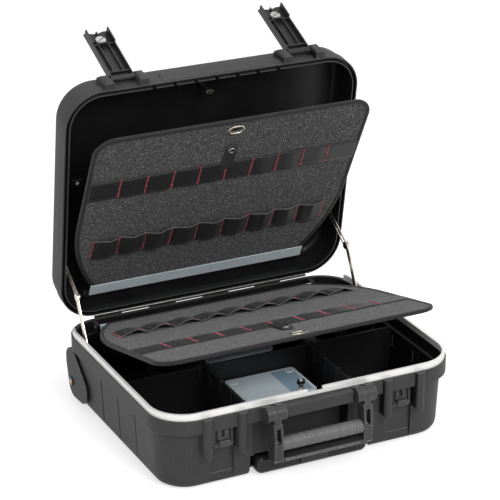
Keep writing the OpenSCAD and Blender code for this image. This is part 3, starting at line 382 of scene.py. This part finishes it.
def bolt_material():
    """Black head with a copper-coloured rivet end in its middle."""
    s = Shade("bolt_steel", (0.05, 0.05, 0.05), 0.32, metallic=1.0)
    away = s.vector("SUBTRACT", s.coord.outputs["Object"], WHEEL_AXIS)
    reach = s.vector("LENGTH", s.vector("MULTIPLY", away, (0.0, 1.0, 1.0)))
    r = s.math("ADD", s.math("MULTIPLY", reach, 100.0),
               s.math("MULTIPLY", s.noise(300.0, 2.0), 0.04))
    s.color(s.ramp(r, [(0.36, (0.62, 0.33, 0.18)), (0.40, (0.30, 0.16, 0.09)),
                       (0.44, (0.045, 0.045, 0.045)), (0.62, (0.09, 0.09, 0.09))]))
    s.bump(s.noise(400.0, 3.0), 0.00004, 0.5)
    return s.m


CASE = ((0.024, 0.024, 0.025), (0.037, 0.037, 0.038))
# tones painted on the covers for the compartments under them: painted light and shade
PALE, BLUE, DEEP = (0.82, 0.94, 1.0), (0.58, 0.75, 0.88), (0.38, 0.55, 0.70)

# look: name, dark and light colour, roughness, then what differs from the usual
# wear_and_highlight is the colour of the paler edges: partly wear, partly a painted highlight
PLASTICS = {
    "case": ("case_plastic", *CASE, 0.50, {}),
    # parts inside the case painted blacker as the shade inside it
    "inner": ("inner_plastic_painted_shade", (0.008, 0.008, 0.009), (0.012, 0.012, 0.013), 0.42,
              {"grain": 600.0, "depth": 0.00003}),
    "lever": ("lever_plastic", (0.010, 0.010, 0.011), (0.016, 0.016, 0.017), 0.36,
              {"grain": 1200.0, "depth": 0.00002, "soften": 0.0005}),
    # grip colour lightened as a painted highlight; its pale edges are a painted highlight too
    "grip": ("grip_plastic_painted_highlight", (0.088, 0.088, 0.089), (0.135, 0.135, 0.137), 0.30,
             {"grain": 1300.0, "depth": 0.00004, "soften": 0.001,
              "wear_and_highlight": (0.36, 0.36, 0.36)}),
    "bracket": ("bracket_plastic", (0.030, 0.030, 0.031), (0.048, 0.048, 0.049), 0.30,
                {"grain": 1100.0, "depth": 0.00004, "wear_and_highlight": (0.38, 0.38, 0.38)}),
    "gloss": ("gloss_plastic", (0.018, 0.018, 0.019), (0.028, 0.028, 0.030), 0.24,
              {"depth": 0.00002, "soften": 0.0012, "wear_and_highlight": (0.12, 0.12, 0.12)}),
    "black": ("black_plastic", (0.009, 0.009, 0.010), (0.014, 0.014, 0.015), 0.34,
              {"grain": 1200.0, "depth": 0.00002, "soften": 0.0005}),
    "tab": ("tab_leather", (0.018, 0.018, 0.019), (0.034, 0.034, 0.036), 0.28,
            {"grain": 700.0, "depth": 0.00003, "soften": 0.0008,
             "wear_and_highlight": (0.34, 0.34, 0.34)}),
}
# look: name, colour, roughness, streak, spread of roughness, tone, metallic
METALS = {
    "alu": ("anodised_aluminium", (0.86, 0.855, 0.84), 0.40, (1, 1, 22), 0.08, 0.96, 0.35),
    "tube": ("drawn_aluminium", (0.62, 0.62, 0.61), 0.34, (6, 0.5, 6), 0.10, 0.9, 0.9),
    "nickel": ("nickel_steel", (0.66, 0.60, 0.53), 0.24, (1, 6, 6), 0.10),
    "zinc": ("zinc_steel", (0.72, 0.72, 0.71), 0.28, (4, 4, 4), 0.12),
    "brass": ("pale_brass", (0.68, 0.62, 0.52), 0.24, (3, 3, 3), 0.10),
    "stud": ("dark_nickel", (0.30, 0.30, 0.31), 0.24, (3, 3, 3), 0.10, 0.6),
    "hinge": ("hinge_steel", (0.15, 0.147, 0.14), 0.26, (1, 8, 8), 0.12, 0.8),
    "lock": ("lock_steel", (0.46, 0.45, 0.43), 0.34, (4, 4, 4), 0.12, 0.8),
}

M = {
    # the point is in the hollow of the shell, in metres, as it stands at rest
    "base": shell_plastic("base_plastic", *CASE, (0.0, 0.0, 0.060)),
    "lid": shell_plastic("lid_plastic", *CASE, (0.0, 0.172, 0.325)),
    "felt": felt_material(),
    "edging": woven_material("edging_tape", 0.004, 0.013, 0.0011, 0.65, 0.10),
    "elastic": woven_material("ribbed_elastic", 0.0025, 0.009, 0.0014, 0.50, 0.06, 0.40),
    "rim_thread": woven_material("light_thread", 0.12, 0.26, 0.0005),
    "thread": thread_material(),
    "strip": strip_material(),
    "tray": tray_material(),
    "front_cover": cover_material("milky_blue_cover_front", (0.0, -0.050), [0.017],
                                  [PALE, DEEP]),
    "rear_cover": cover_material("milky_blue_cover_rear", (0.005, 0.112),
                                 [-0.020, 0.019], [PALE, BLUE, PALE]),
    "bolt": bolt_material(),
    "rubber": rubber_material(),
}
for look, (name, dark, light, rough, more) in PLASTICS.items():
    M[look] = grained_plastic(name, dark, light, rough, **more)
for look, settings in METALS.items():
    M[look] = metal(*settings)

# look: the CAD nodes that have it
LOOKS = {
    "base": ("base_shell", "trolley_tunnel"),
    "lid": ("lid_shell",),
    "inner": ("wheel_housings", "divider_guides", "long_dividers", "cross_divider"),
    "case": ("trolley_cover", "wheel_hub_left", "wheel_hub_right"),
    "bracket": ("handle_brackets", "handle_frame", "push_button", "latch_keepers"),
    "grip": ("handle_grip",),
    "gloss": ("trolley_grip",),
    "lever": ("latch_lever_left", "latch_lever_right"),
    "black": ("lower_turn_button", "handle_pins"),
    "tab": ("lower_tab", "upper_tab"),
    "alu": ("aluminium_frame",),
    "tube": ("trolley_sleeves", "trolley_mid_tubes", "trolley_inner_tubes"),
    "bolt": ("wheel_bolts",),
    "zinc": ("hinge_pin", "latch_axles"),
    "nickel": ("stay_base_pins", "stay_lid_pins", "upper_catch_post",
               "stay_lower_left", "stay_lower_right",
               "stay_upper_left", "stay_upper_right"),
    "lock": ("latch_lock_left", "latch_lock_right"),
    "brass": ("upper_turn_button", "lower_catch_bracket",
              "lower_eyelet", "upper_eyelet"),
    "hinge": ("hinge_base_leaf", "hinge_lid_leaf"),
    "felt": ("lower_board", "upper_board"),
    "edging": ("lower_edging", "upper_edging"),
    "elastic": ("lower_pockets", "upper_pockets", "lower_band", "upper_band"),
    "strip": ("lower_strip", "upper_strip"),
    "tray": ("front_box_tray", "rear_box_tray"),
    "front_cover": ("front_box_lid",),
    "rear_cover": ("rear_box_lid",),
    "rubber": ("wheel_tyre_left", "wheel_tyre_right"),
}
for look, names in LOOKS.items():
    for name in names:
        slots = NODE[name].data.materials
        slots.clear()
        slots.append(M[look])


# ------------------------------------------------------------------ helpers
def add_piece(name, data, body):
    """Put a new mesh or curve in the scene as a piece that rides on a body."""
    o = bpy.data.objects.new(name, data)
    bpy.context.scene.collection.objects.link(o)
    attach(o, body)
    return o


def mesh_object(name, verts, faces, mat, body, smooth=True):
    me = bpy.data.meshes.new(name)
    me.from_pydata([tuple(v) for v in verts], [], faces)
    bm = bmesh.new()
    bm.from_mesh(me)
    bmesh.ops.recalc_face_normals(bm, faces=bm.faces)
    bm.to_mesh(me)
    bm.free()
    for p in me.polygons:
        p.use_smooth = smooth
    me.materials.append(mat)
    return add_piece(name, me, body)


def curve_object(name, runs, radius, mat, body):
    """Round threads along runs of points; the radius is in millimetres."""
    cu = bpy.data.curves.new(name, "CURVE")
    cu.dimensions = "3D"
    cu.bevel_depth = radius * MM
    cu.bevel_resolution = 1
    for pts in runs:
        sp = cu.splines.new("POLY")
        sp.points.add(len(pts) - 1)
        for k, p in enumerate(pts):
            sp.points[k].co = (*p, 1)
    cu.materials.append(mat)
    return add_piece(name, cu, body)


def circle(steps):
    """Cosine and sine of equal steps round a full turn."""
    turns = [2 * math.pi * k / steps for k in range(steps)]
    return [(math.cos(a), math.sin(a)) for a in turns]


def grid_faces(rows, cols, wrap_r=False, wrap_c=False):
    """Quads over a grid of points, closed round its rows or columns where asked."""
    out = []
    for r in range(rows if wrap_r else rows - 1):
        for c in range(cols if wrap_c else cols - 1):
            a = r * cols + c
            b = r * cols + (c + 1) % cols
            d = ((r + 1) % rows) * cols + c
            e = ((r + 1) % rows) * cols + (c + 1) % cols
            out.append((a, b, e, d))
    return out


def slab_faces(rows, cols):
    """Closed skin over two equal grids of points, the upper one first."""
    n = rows * cols
    upper = grid_faces(rows, cols)
    faces = upper + [tuple(n + i for i in reversed(f)) for f in upper]
    for r in (0, rows - 1):
        for c in range(cols - 1):
            a, b = r * cols + c, r * cols + c + 1
            faces.append((a, b, n + b, n + a))
    for c in (0, cols - 1):
        for r in range(rows - 1):
            a, b = r * cols + c, (r + 1) * cols + c
            faces.append((a, b, n + b, n + a))
    return faces


def stack_faces(levels, n):
    """Walls between loops of n points laid one on another, with a cap at both ends."""
    faces = []
    for r in range(levels - 1):
        for k in range(n):
            a, b = r * n + k, r * n + (k + 1) % n
            faces.append((a, b, b + n, a + n))
    top = (levels - 1) * n
    faces.append(tuple(range(top, top + n)))
    faces.append(tuple(reversed(range(n))))
    return faces


def lathe(name, place, section, mat, body, steps=28, groove=None, smooth=False):
    """Small turned part: section is (radius, height) from the middle outwards.

    A groove is a screwdriver slot: (half width, up to this radius, depth)."""
    verts = []
    for ca, sa in circle(steps):
        for r, h in section:
            x, y = r * ca, r * sa
            if groove and abs(y) < groove[0] and r < groove[1]:
                h -= groove[2]
            verts.append(place(x, y, h))
    faces = grid_faces(steps, len(section), wrap_r=True)
    faces.append(tuple(k * len(section) for k in range(steps)))
    return mesh_object(name, verts, faces, mat, body, smooth)


def rx(deg):
    return Matrix.Rotation(math.radians(deg), 4, "X")


def at(x, y, z):
    return Matrix.Translation((x * MM, y * MM, z * MM))


# ------------------------------------------------------------------ tool boards
# Sizes shared with the CAD part, in millimetres and degrees
HINGE, LID_OPEN = (0, 202.6, 123.4), 80.6
UPPER_ROOT, UPPER_LEAN = (0, 175, 151.5), 18.2     # the upper one in the closed lid
LOWER_ROOT, LOWER_RISE = (0, 182, 113.5), 14.1
BOARD_W, BOARD_LEN, BOARD_START = 469.0, 355.0, 2.5
CORNER_R = 34.0                         # corners of the free end
ARC_R, ARC_FROM = 260.0, 165.0          # sides that draw in towards the hinged edge
PANEL = 2.2                             # half the thickness of the panel
POCKETS, PITCH = 9, 45.0
BAND_PITCH, BAND_SEAMS = 44.6, 9
# From and to, along the board from its hinge
POCKET_S, BAND_S, TAB_S = (89.0, 130.0), (224.0, 265.0), (250.0, 304.0)
EYELET_S = 333.0

# The closed lid, and each board flat on its own axes, to where they are at rest
LID = at(*HINGE) @ rx(-LID_OPEN) @ at(0, -HINGE[1], -HINGE[2])
UPPER = LID @ at(*UPPER_ROOT) @ rx(180 + UPPER_LEAN)
LOWER = at(*LOWER_ROOT) @ rx(180 - LOWER_RISE)


def on_board(which):
    """Place a point from (across, along, height over the mid-plane on the shown side)."""
    if which == "upper":
        return lambda x, s, h: UPPER @ Vector((x * MM, s * MM, h * MM))
    return lambda x, s, h: LOWER @ Vector((x * MM, s * MM, -h * MM))


def board_half(s):
    """Half the width of the board, short of its corners."""
    w = BOARD_W / 2
    if s < ARC_FROM:
        w = w - ARC_R + math.sqrt(max(ARC_R * ARC_R - (ARC_FROM - s) ** 2, 1))
    return w


def board_loop():
    """Points round the board's outline, anticlockwise, without doubles."""
    side_steps, corner_steps, end_steps, root_steps = 40, 12, 12, 16
    least_gap = 0.1
    s0, s1 = BOARD_START, BOARD_LEN
    steps = [s0 + (s1 - CORNER_R - s0) * k / side_steps for k in range(side_steps + 1)]
    right = [(board_half(s), s) for s in steps]
    for k in range(1, corner_steps + 1):
        a = math.pi / 2 * k / corner_steps
        right.append((BOARD_W / 2 - CORNER_R + CORNER_R * math.cos(a),
                      s1 - CORNER_R + CORNER_R * math.sin(a)))
    end_x = right[-1][0]
    right += [(end_x * (1 - k / end_steps), s1) for k in range(1, end_steps)]
    left = [(-x, s) for x, s in reversed(right)]
    w = right[0][0]
    root = [(-w + 2 * w * k / root_steps, s0) for k in range(1, root_steps)]
    pts = []
    for x, s in right + left + root:
        if not pts or math.hypot(x - pts[-1][0], s - pts[-1][1]) > least_gap:
            pts.append((x, s))
    return pts


def edging(which):
    """Binding tape folded round the board's edge."""
    place = on_board(which)
    # (in from the edge, height), over the edge from the shown face to the other
    fold = [(6.3, 2.75), (4.2, 3.0), (2.1, 3.1), (0.7, 2.6), (0.12, 1.5)]
    profile = ([(6.6, PANEL - 0.1)] + fold + [(0.0, 0.0)]
               + [(d, -h) for d, h in reversed(fold)] + [(6.6, -PANEL + 0.1)])
    base = board_loop()
    n = len(base)
    verts = []
    for k, (x, s) in enumerate(base):
        x0, s0 = base[k - 1]
        x1, s1 = base[(k + 1) % n]
        d = math.hypot(x1 - x0, s1 - s0) or 1
        nx, ns = -(s1 - s0) / d, (x1 - x0) / d
        waver = 0.12 * math.sin(k * 1.7) + 0.1 * math.sin(k * 0.61)
        for j, (inset, h) in enumerate(profile):
            grow = waver * 0.5 if 0 < j < len(profile) - 1 else 0
            verts.append(place(x + nx * inset, s + ns * inset,
                               h + (grow if h > 0 else -grow)))
    o = mesh_object(f"{which}_binding", verts, grid_faces(n, len(profile), wrap_r=True),
                    M["edging"], f"{which}_tool_board")
    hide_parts(f"{which}_edging")


def pocket_height(u, t, pocket_shapes):
    """Height of the elastic over the panel.

    u counts pockets from the left; t is 0 at the closed side and 1 at the mouth."""
    k = min(max(int(u), 0), POCKETS - 1)
    rise, lean, folds = pocket_shapes[k]
    f = min(max(u - k, 0.0), 1.0)
    f = f + lean * math.sin(math.pi * f) * 0.12
    arch = max(math.sin(math.pi * min(max(f, 0), 1)), 0.0) ** 0.72
    rise = rise * (0.62 + 0.38 * t)
    fold = 0.0
    for middle, deep, width in folds:
        fold += deep * math.exp(-((f - middle + 0.05 * (t - 0.5)) / width) ** 2)
    return 1.0 + rise * arch + fold * min(arch * 1.6, 1.0) * (0.45 + 0.55 * t)


def pockets(which):
    """Row of elastic pockets, each with its own bulge and folds, and its light rim."""
    place = on_board(which)
    # rise, lean, and three folds as (place in the pocket, depth, width)
    shapes = [(rng.uniform(6.4, 8.6), rng.uniform(-1, 1),
               [(rng.uniform(0.16, 0.36), rng.uniform(-1.3, -0.6), 0.07),
                (rng.uniform(0.48, 0.60), rng.uniform(0.4, 0.9), 0.05),
                (rng.uniform(0.70, 0.84), rng.uniform(-1.4, -0.7), 0.06)])
              for _ in range(POCKETS)]
    top, under = 1.15, 0.1              # outer and inner face of the elastic
    half = POCKETS * PITCH / 2
    cols, rows = POCKETS * 20 + 1, 9
    verts = []
    for layer in (top, under):
        for r in range(rows):
            t = r / (rows - 1)
            for c in range(cols):
                x = -half + 2 * half * c / (cols - 1)
                u = (x + half) / PITCH
                dip = 2.2 * math.exp(-(abs(u - round(u)) / 0.10) ** 2)
                s = POCKET_S[0] + (POCKET_S[1] - POCKET_S[0]) * t
                s += (0.9 - dip * 0.55) * (1 if t > 0.5 else -1) * abs(2 * t - 1) ** 3
                h = pocket_height(u, t, shapes)
                h += 0.25 * math.sin(u * 13 + t * 5) * math.sin(math.pi * t)
                verts.append(place(x, s, PANEL + max(h - top + layer, layer)))
    o = mesh_object(f"{which}_pocket_row", verts, slab_faces(rows, cols), M["elastic"],
                    f"{which}_tool_board")
    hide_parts(f"{which}_pockets")
    mouth = [verts[(rows - 1) * cols + c].copy() for c in range(cols)]
    out = place(0, 1, 0) - place(0, 0, 0)
    up = place(0, 0, 1) - place(0, 0, 0)
    curve_object(f"{which}_pocket_edge", [[q + out * 0.1 + up * 0.1 for q in mouth]], 0.42,
                 M["rim_thread"], f"{which}_tool_board")


def band(which):
    """Elastic band across the board, a little slack between its seams."""
    place = on_board(which)
    top, under = 1.2, 0.05
    w = BOARD_W / 2 - 6.0               # half its length, to just under the edging
    cols, rows = 181, 7
    verts = []
    for layer in (top, under):
        for r in range(rows):
            t = r / (rows - 1)
            for c in range(cols):
                x = -w + 2 * w * c / (cols - 1)
                u = x / BAND_PITCH
                seamed = abs(u) < BAND_SEAMS // 2 + 0.3
                near = abs(u - round(u))
                slack = 1.1 * (1 - math.exp(-(near / 0.2) ** 2)) if seamed else 0.1
                slack *= 0.6 + 0.4 * math.sin(u * 5.1 + 1)
                s = BAND_S[0] + (BAND_S[1] - BAND_S[0]) * t
                s += 0.4 * math.sin(u * 2.3 + t)
                verts.append(place(x, s, PANEL + layer + max(slack, 0)))
    o = mesh_object(f"{which}_elastic_band", verts, slab_faces(rows, cols), M["elastic"],
                    f"{which}_tool_board")
    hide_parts(f"{which}_band")


def stitches(which):
    """Zigzag bar tacks in red thread, with a loose knot low down and at the top."""
    place = on_board(which)
    half = POCKETS * PITCH / 2
    over_pocket, over_band = 3.55, 3.75
    # across, from, to, height
    lines = [(-half + PITCH * k, POCKET_S[0] + 1, POCKET_S[1] - 1, over_pocket)
             for k in range(POCKETS + 1)]
    lines += [(BAND_PITCH * (k - BAND_SEAMS // 2), BAND_S[0] + 1.5, BAND_S[1] - 1.5, over_band)
              for k in range(BAND_SEAMS)]
    zigs = 17
    runs, knots = [], []
    for x, s0, s1, h in lines:
        run = []
        lean = rng.uniform(-0.8, 0.8)
        for k in range(zigs + 1):
            t = k / zigs
            side = 1.0 if k % 2 else -1.0
            run.append(place(x + side * rng.uniform(0.7, 1.6) + lean * (t - 0.5),
                             s0 + (s1 - s0) * t, h + rng.uniform(-0.1, 0.25)))
        runs.append(run)
        for t in (rng.uniform(0.05, 0.3), 1.0):
            s = s0 + (s1 - s0) * t
            knots.append([place(x - 0.9, s - 1.6, h + 0.1), place(x + 0.5, s - 0.4, h + 0.6),
                          place(x - 0.2, s + 0.9, h + 0.4)])
    curve_object(f"{which}_thread_knots", knots, 0.72, M["thread"],
                 f"{which}_tool_board")
    curve_object(f"{which}_stitches", runs, 0.50, M["thread"],
                 f"{which}_tool_board")


def eyelet(which):
    """Oval eyelet: a rolled rim on each face of the board, and a barrel between, black as
    painted shade in the hole.
    """
    place = on_board(which)
    flat = 4.7                          # half the straight part of the oval
    steps = 48
    rings = [(flat if ca > 0 else -flat, ca, sa) for ca, sa in circle(steps)]
    rim = [(4.9, PANEL + 0.2), (5.3, PANEL + 0.9), (6.4, PANEL + 1.25), (7.1, PANEL + 1.0),
           (7.8, PANEL + 1.15), (9.2, PANEL + 0.85), (9.8, PANEL + 0.1), (9.4, PANEL - 0.05),
           (4.9, PANEL - 0.05)]
    sleeve = [(4.8, -PANEL - 0.3), (4.8, PANEL + 0.3), (5.2, PANEL + 0.3), (5.2, -PANEL - 0.3)]

    def ovals(section, side):
        return [place(cx + r * ca, EYELET_S + r * sa, side * h)
                for cx, ca, sa in rings for r, h in section]

    verts = ovals(rim, 1) + ovals(rim, -1)
    one_rim = grid_faces(steps, len(rim), wrap_r=True, wrap_c=True)
    faces = one_rim + [tuple(steps * len(rim) + k for k in f) for f in one_rim]
    o = mesh_object(f"{which}_rolled_eyelet", verts, faces, M["brass"],
                    f"{which}_tool_board")
    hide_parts(f"{which}_eyelet")
    # the barrel is black as painted shade inside the hole
    mesh_object(f"{which}_eyelet_shade_barrel", ovals(sleeve, 1),
                grid_faces(steps, len(sleeve), wrap_r=True, wrap_c=True), M["black"],
                f"{which}_tool_board")


def tab(which):
    """Snap tab: a thick strap end with a press stud near its free end."""
    place = on_board(which)
    w, s0, s1 = 10.0, TAB_S[0], TAB_S[1]
    root, root_bow = 4, 2.4             # the root is rounded within its last 4 mm
    stud_s = s1 - 12
    side = s1 - w - s0 - root
    end_steps, side_steps, root_steps = 16, 5, 8
    outline = []
    for k in range(end_steps + 1):
        a = math.pi * k / end_steps
        outline.append((w * math.cos(a), s1 - w + w * math.sin(a)))
    for k in range(1, side_steps + 1):
        outline.append((-w, s1 - w - side * k / side_steps))
    for k in range(1, root_steps + 1):
        a = math.pi * k / root_steps
        outline.append((-w * math.cos(a), s0 + root - root_bow * math.sin(a)))
    for k in range(1, side_steps):
        outline.append((w, s0 + root + side * k / side_steps))
    levels = [(0.0, 0.1), (0.0, 2.6), (0.35, 3.3), (1.1, 3.7)]     # (inset, height)
    middle, half = (s0 + s1) / 2, (s1 - s0) / 2
    verts = [place(x * (1 - inset / w), middle + (s - middle) * (1 - inset / half), PANEL + h)
             for inset, h in levels for x, s in outline]
    o = mesh_object(f"{which}_strap_tab", verts, stack_faces(len(levels), len(outline)),
                    M["tab"], f"{which}_tool_board", smooth=False)
    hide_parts(f"{which}_tab")
    stud = [(0.4, 0.2), (1.6, 0.5), (2.6, 0.2), (3.4, 0.9), (4.6, 1.5), (5.8, 0.9), (6.1, 0.0)]
    lathe(f"{which}_press_stud",
          lambda x, y, h: place(x, stud_s + y, PANEL + levels[-1][1] + h), stud, M["stud"],
          f"{which}_tool_board", steps=32, smooth=True)


# ------------------------------------------------------------------ small fittings
PLATE_X, PLATE_Y, PLATE_Z = -205.3, -16.7, 174.0       # in the closed lid, on its panel


def side_plate():
    """Screwed plate on the inside of the lid's panel, at its left end."""
    def wall(x, y, h):
        return LID @ Vector(((PLATE_X + x) * MM, (PLATE_Y + y) * MM, (PLATE_Z - h) * MM))

    half_x, half_y, corner = 7.0, 4.5, 2           # half sizes without the rounding
    steps = 24
    loop = []
    for k in range(steps):
        a = 2 * math.pi * (k + 0.5) / steps
        c, d = math.cos(a), math.sin(a)
        loop.append((math.copysign(half_x, c) + corner * c,
                     math.copysign(half_y, d) + corner * d))
    levels = ((0.0, 0.0), (0.0, 1.0), (0.5, 1.5))      # (inset, height)
    verts = [wall(x * (1 - inset / (half_x + corner)), y * (1 - inset / (half_y + corner)), h)
             for inset, h in levels for x, y in loop]
    mesh_object("lid_side_plate", verts, stack_faces(len(levels), steps), M["black"],
                "lid", smooth=False)
    screw = [(0.25, 2.5), (0.9, 2.6), (1.6, 2.5), (2.3, 2.2), (2.8, 1.8), (2.9, 1.45)]
    lathe("lid_side_screw", wall, screw, M["zinc"], "lid", groove=(0.45, 2.5, 0.5))


def stay_cap():
    """Black cap on the inner end of the stud of the right stay."""
    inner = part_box("stay_lower_right")[0][0]
    stud_y, stud_z = 0.1485, 0.187      # in metres, as the CAD has it at rest
    section = [(0.3, 0.25), (2.0, 0.22), (4.4, 0.25), (5.9, 0.2), (6.1, 0.0)]
    lathe("stay_stud_cap",
          lambda a, b, h: Vector((inner - h * MM, stud_y + a * MM, stud_z + b * MM)),
          section, M["black"], "lower_stay_right")


def button_screw():
    """Bright slotted screw in the head of the lower turn button."""
    low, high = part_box("lower_turn_button")
    y, z = (low[1] + high[1]) / 2, high[2]
    section = [(0.3, 0.45), (1.5, 0.5), (1.9, 0.1), (2.3, 0.1), (2.6, 0.45), (3.2, 0.4),
               (3.4, 0.0)]
    lathe("button_screw", lambda a, b, h: Vector((a * MM, y + b * MM, z + h * MM)), section,
          M["zinc"], "lower_button", groove=(0.5, 1.7, 0.4))


for which in ("upper", "lower"):
    edging(which)
    pockets(which)
    band(which)
    stitches(which)
    eyelet(which)
    tab(which)
side_plate()
stay_cap()
button_screw()


# ------------------------------------------------------------------ floor, light, camera
FLOOR_HALF = 12.0
FLOOR_GREY, FLOOR_GLOW = 0.64, 0.62     # together white where the lamps reach it
WORLD_LIGHT = 0.42                      # what the white world gives the object


def floor():
    """Pale floor that looks white and keeps the object's shadow."""
    s = FLOOR_HALF
    me = bpy.data.meshes.new("floor")
    me.from_pydata([(-s, -s, 0), (s, -s, 0), (s, s, 0), (-s, s, 0)], [], [(0, 1, 2, 3)])
    o = bpy.data.objects.new("floor", me)
    bpy.context.scene.collection.objects.link(o)
    pale = Shade("pale_floor", (FLOOR_GREY, FLOOR_GREY, FLOOR_GREY), 0.9, spec=0.0)
    rays = pale.t.nodes.new("ShaderNodeLightPath").outputs
    pale.p.inputs["Emission Color"].default_value = (1, 1, 1, 1)
    seen = pale.math("MAXIMUM", rays["Is Camera Ray"], rays["Is Glossy Ray"])
    seen = pale.math("MAXIMUM", seen, rays["Is Transmission Ray"])
    pale.link(pale.math("MULTIPLY", seen, FLOOR_GLOW), pale.p.inputs["Emission Strength"])
    me.materials.append(pale.m)


def world():
    """White where it is seen, reflected or looked at through something, dimmer as light."""
    w = bpy.data.worlds.new("studio")
    w.use_nodes = True
    t = w.node_tree
    bg = t.nodes["Background"]
    bg.inputs["Color"].default_value = (1, 1, 1, 1)
    rays = t.nodes.new("ShaderNodeLightPath").outputs
    strength = None
    for ray in ("Is Camera Ray", "Is Glossy Ray", "Is Transmission Ray"):
        n = t.nodes.new("ShaderNodeMath")
        n.operation = "MAXIMUM"
        t.links.new(rays[ray], n.inputs[0])
        if strength is None:
            n.inputs[1].default_value = WORLD_LIGHT
        else:
            t.links.new(strength, n.inputs[1])
        strength = n.outputs[0]
    t.links.new(strength, bg.inputs["Strength"])
    bpy.context.scene.world = w


def aim_at(o, eye, target):
    """Stand a lamp or camera at eye and turn it to target."""
    o.location = eye
    o.rotation_mode = "QUATERNION"
    o.rotation_quaternion = (Vector(target) - Vector(eye)).to_track_quat("-Z", "Y")
    bpy.context.scene.collection.objects.link(o)


def lamp(name, eye, target, size, power):
    li = bpy.data.lights.new(name, "AREA")
    li.shape = "RECTANGLE"
    li.size, li.size_y = size
    li.energy = power
    aim_at(bpy.data.objects.new(name, li), eye, target)


def camera():
    """The photograph's camera, solved from the rim of the base."""
    cam = bpy.data.cameras.new("camera")
    cam.sensor_width = 36.0
    cam.lens = 156.3
    cam.shift_x, cam.shift_y = -0.013, 0.152
    cam.clip_end = 50
    o = bpy.data.objects.new("camera", cam)
    aim_at(o, (-1.3586, -2.7503, 1.5585), (0, 0, 0.15))
    bpy.context.scene.camera = o


floor()
world()
lamp("key", (0.5, -2.7, 2.2), (0, 0, 0.15), (1.5, 1.3), 58)
lamp("fill", (-2.4, -1.2, 1.6), (0, 0, 0.2), (1.6, 1.4), 18)
lamp("top", (0.1, 0.0, 2.8), (0, 0, 0.2), (1.6, 1.4), 26)
camera()
bpy.context.scene.view_settings.view_transform = "Standard"
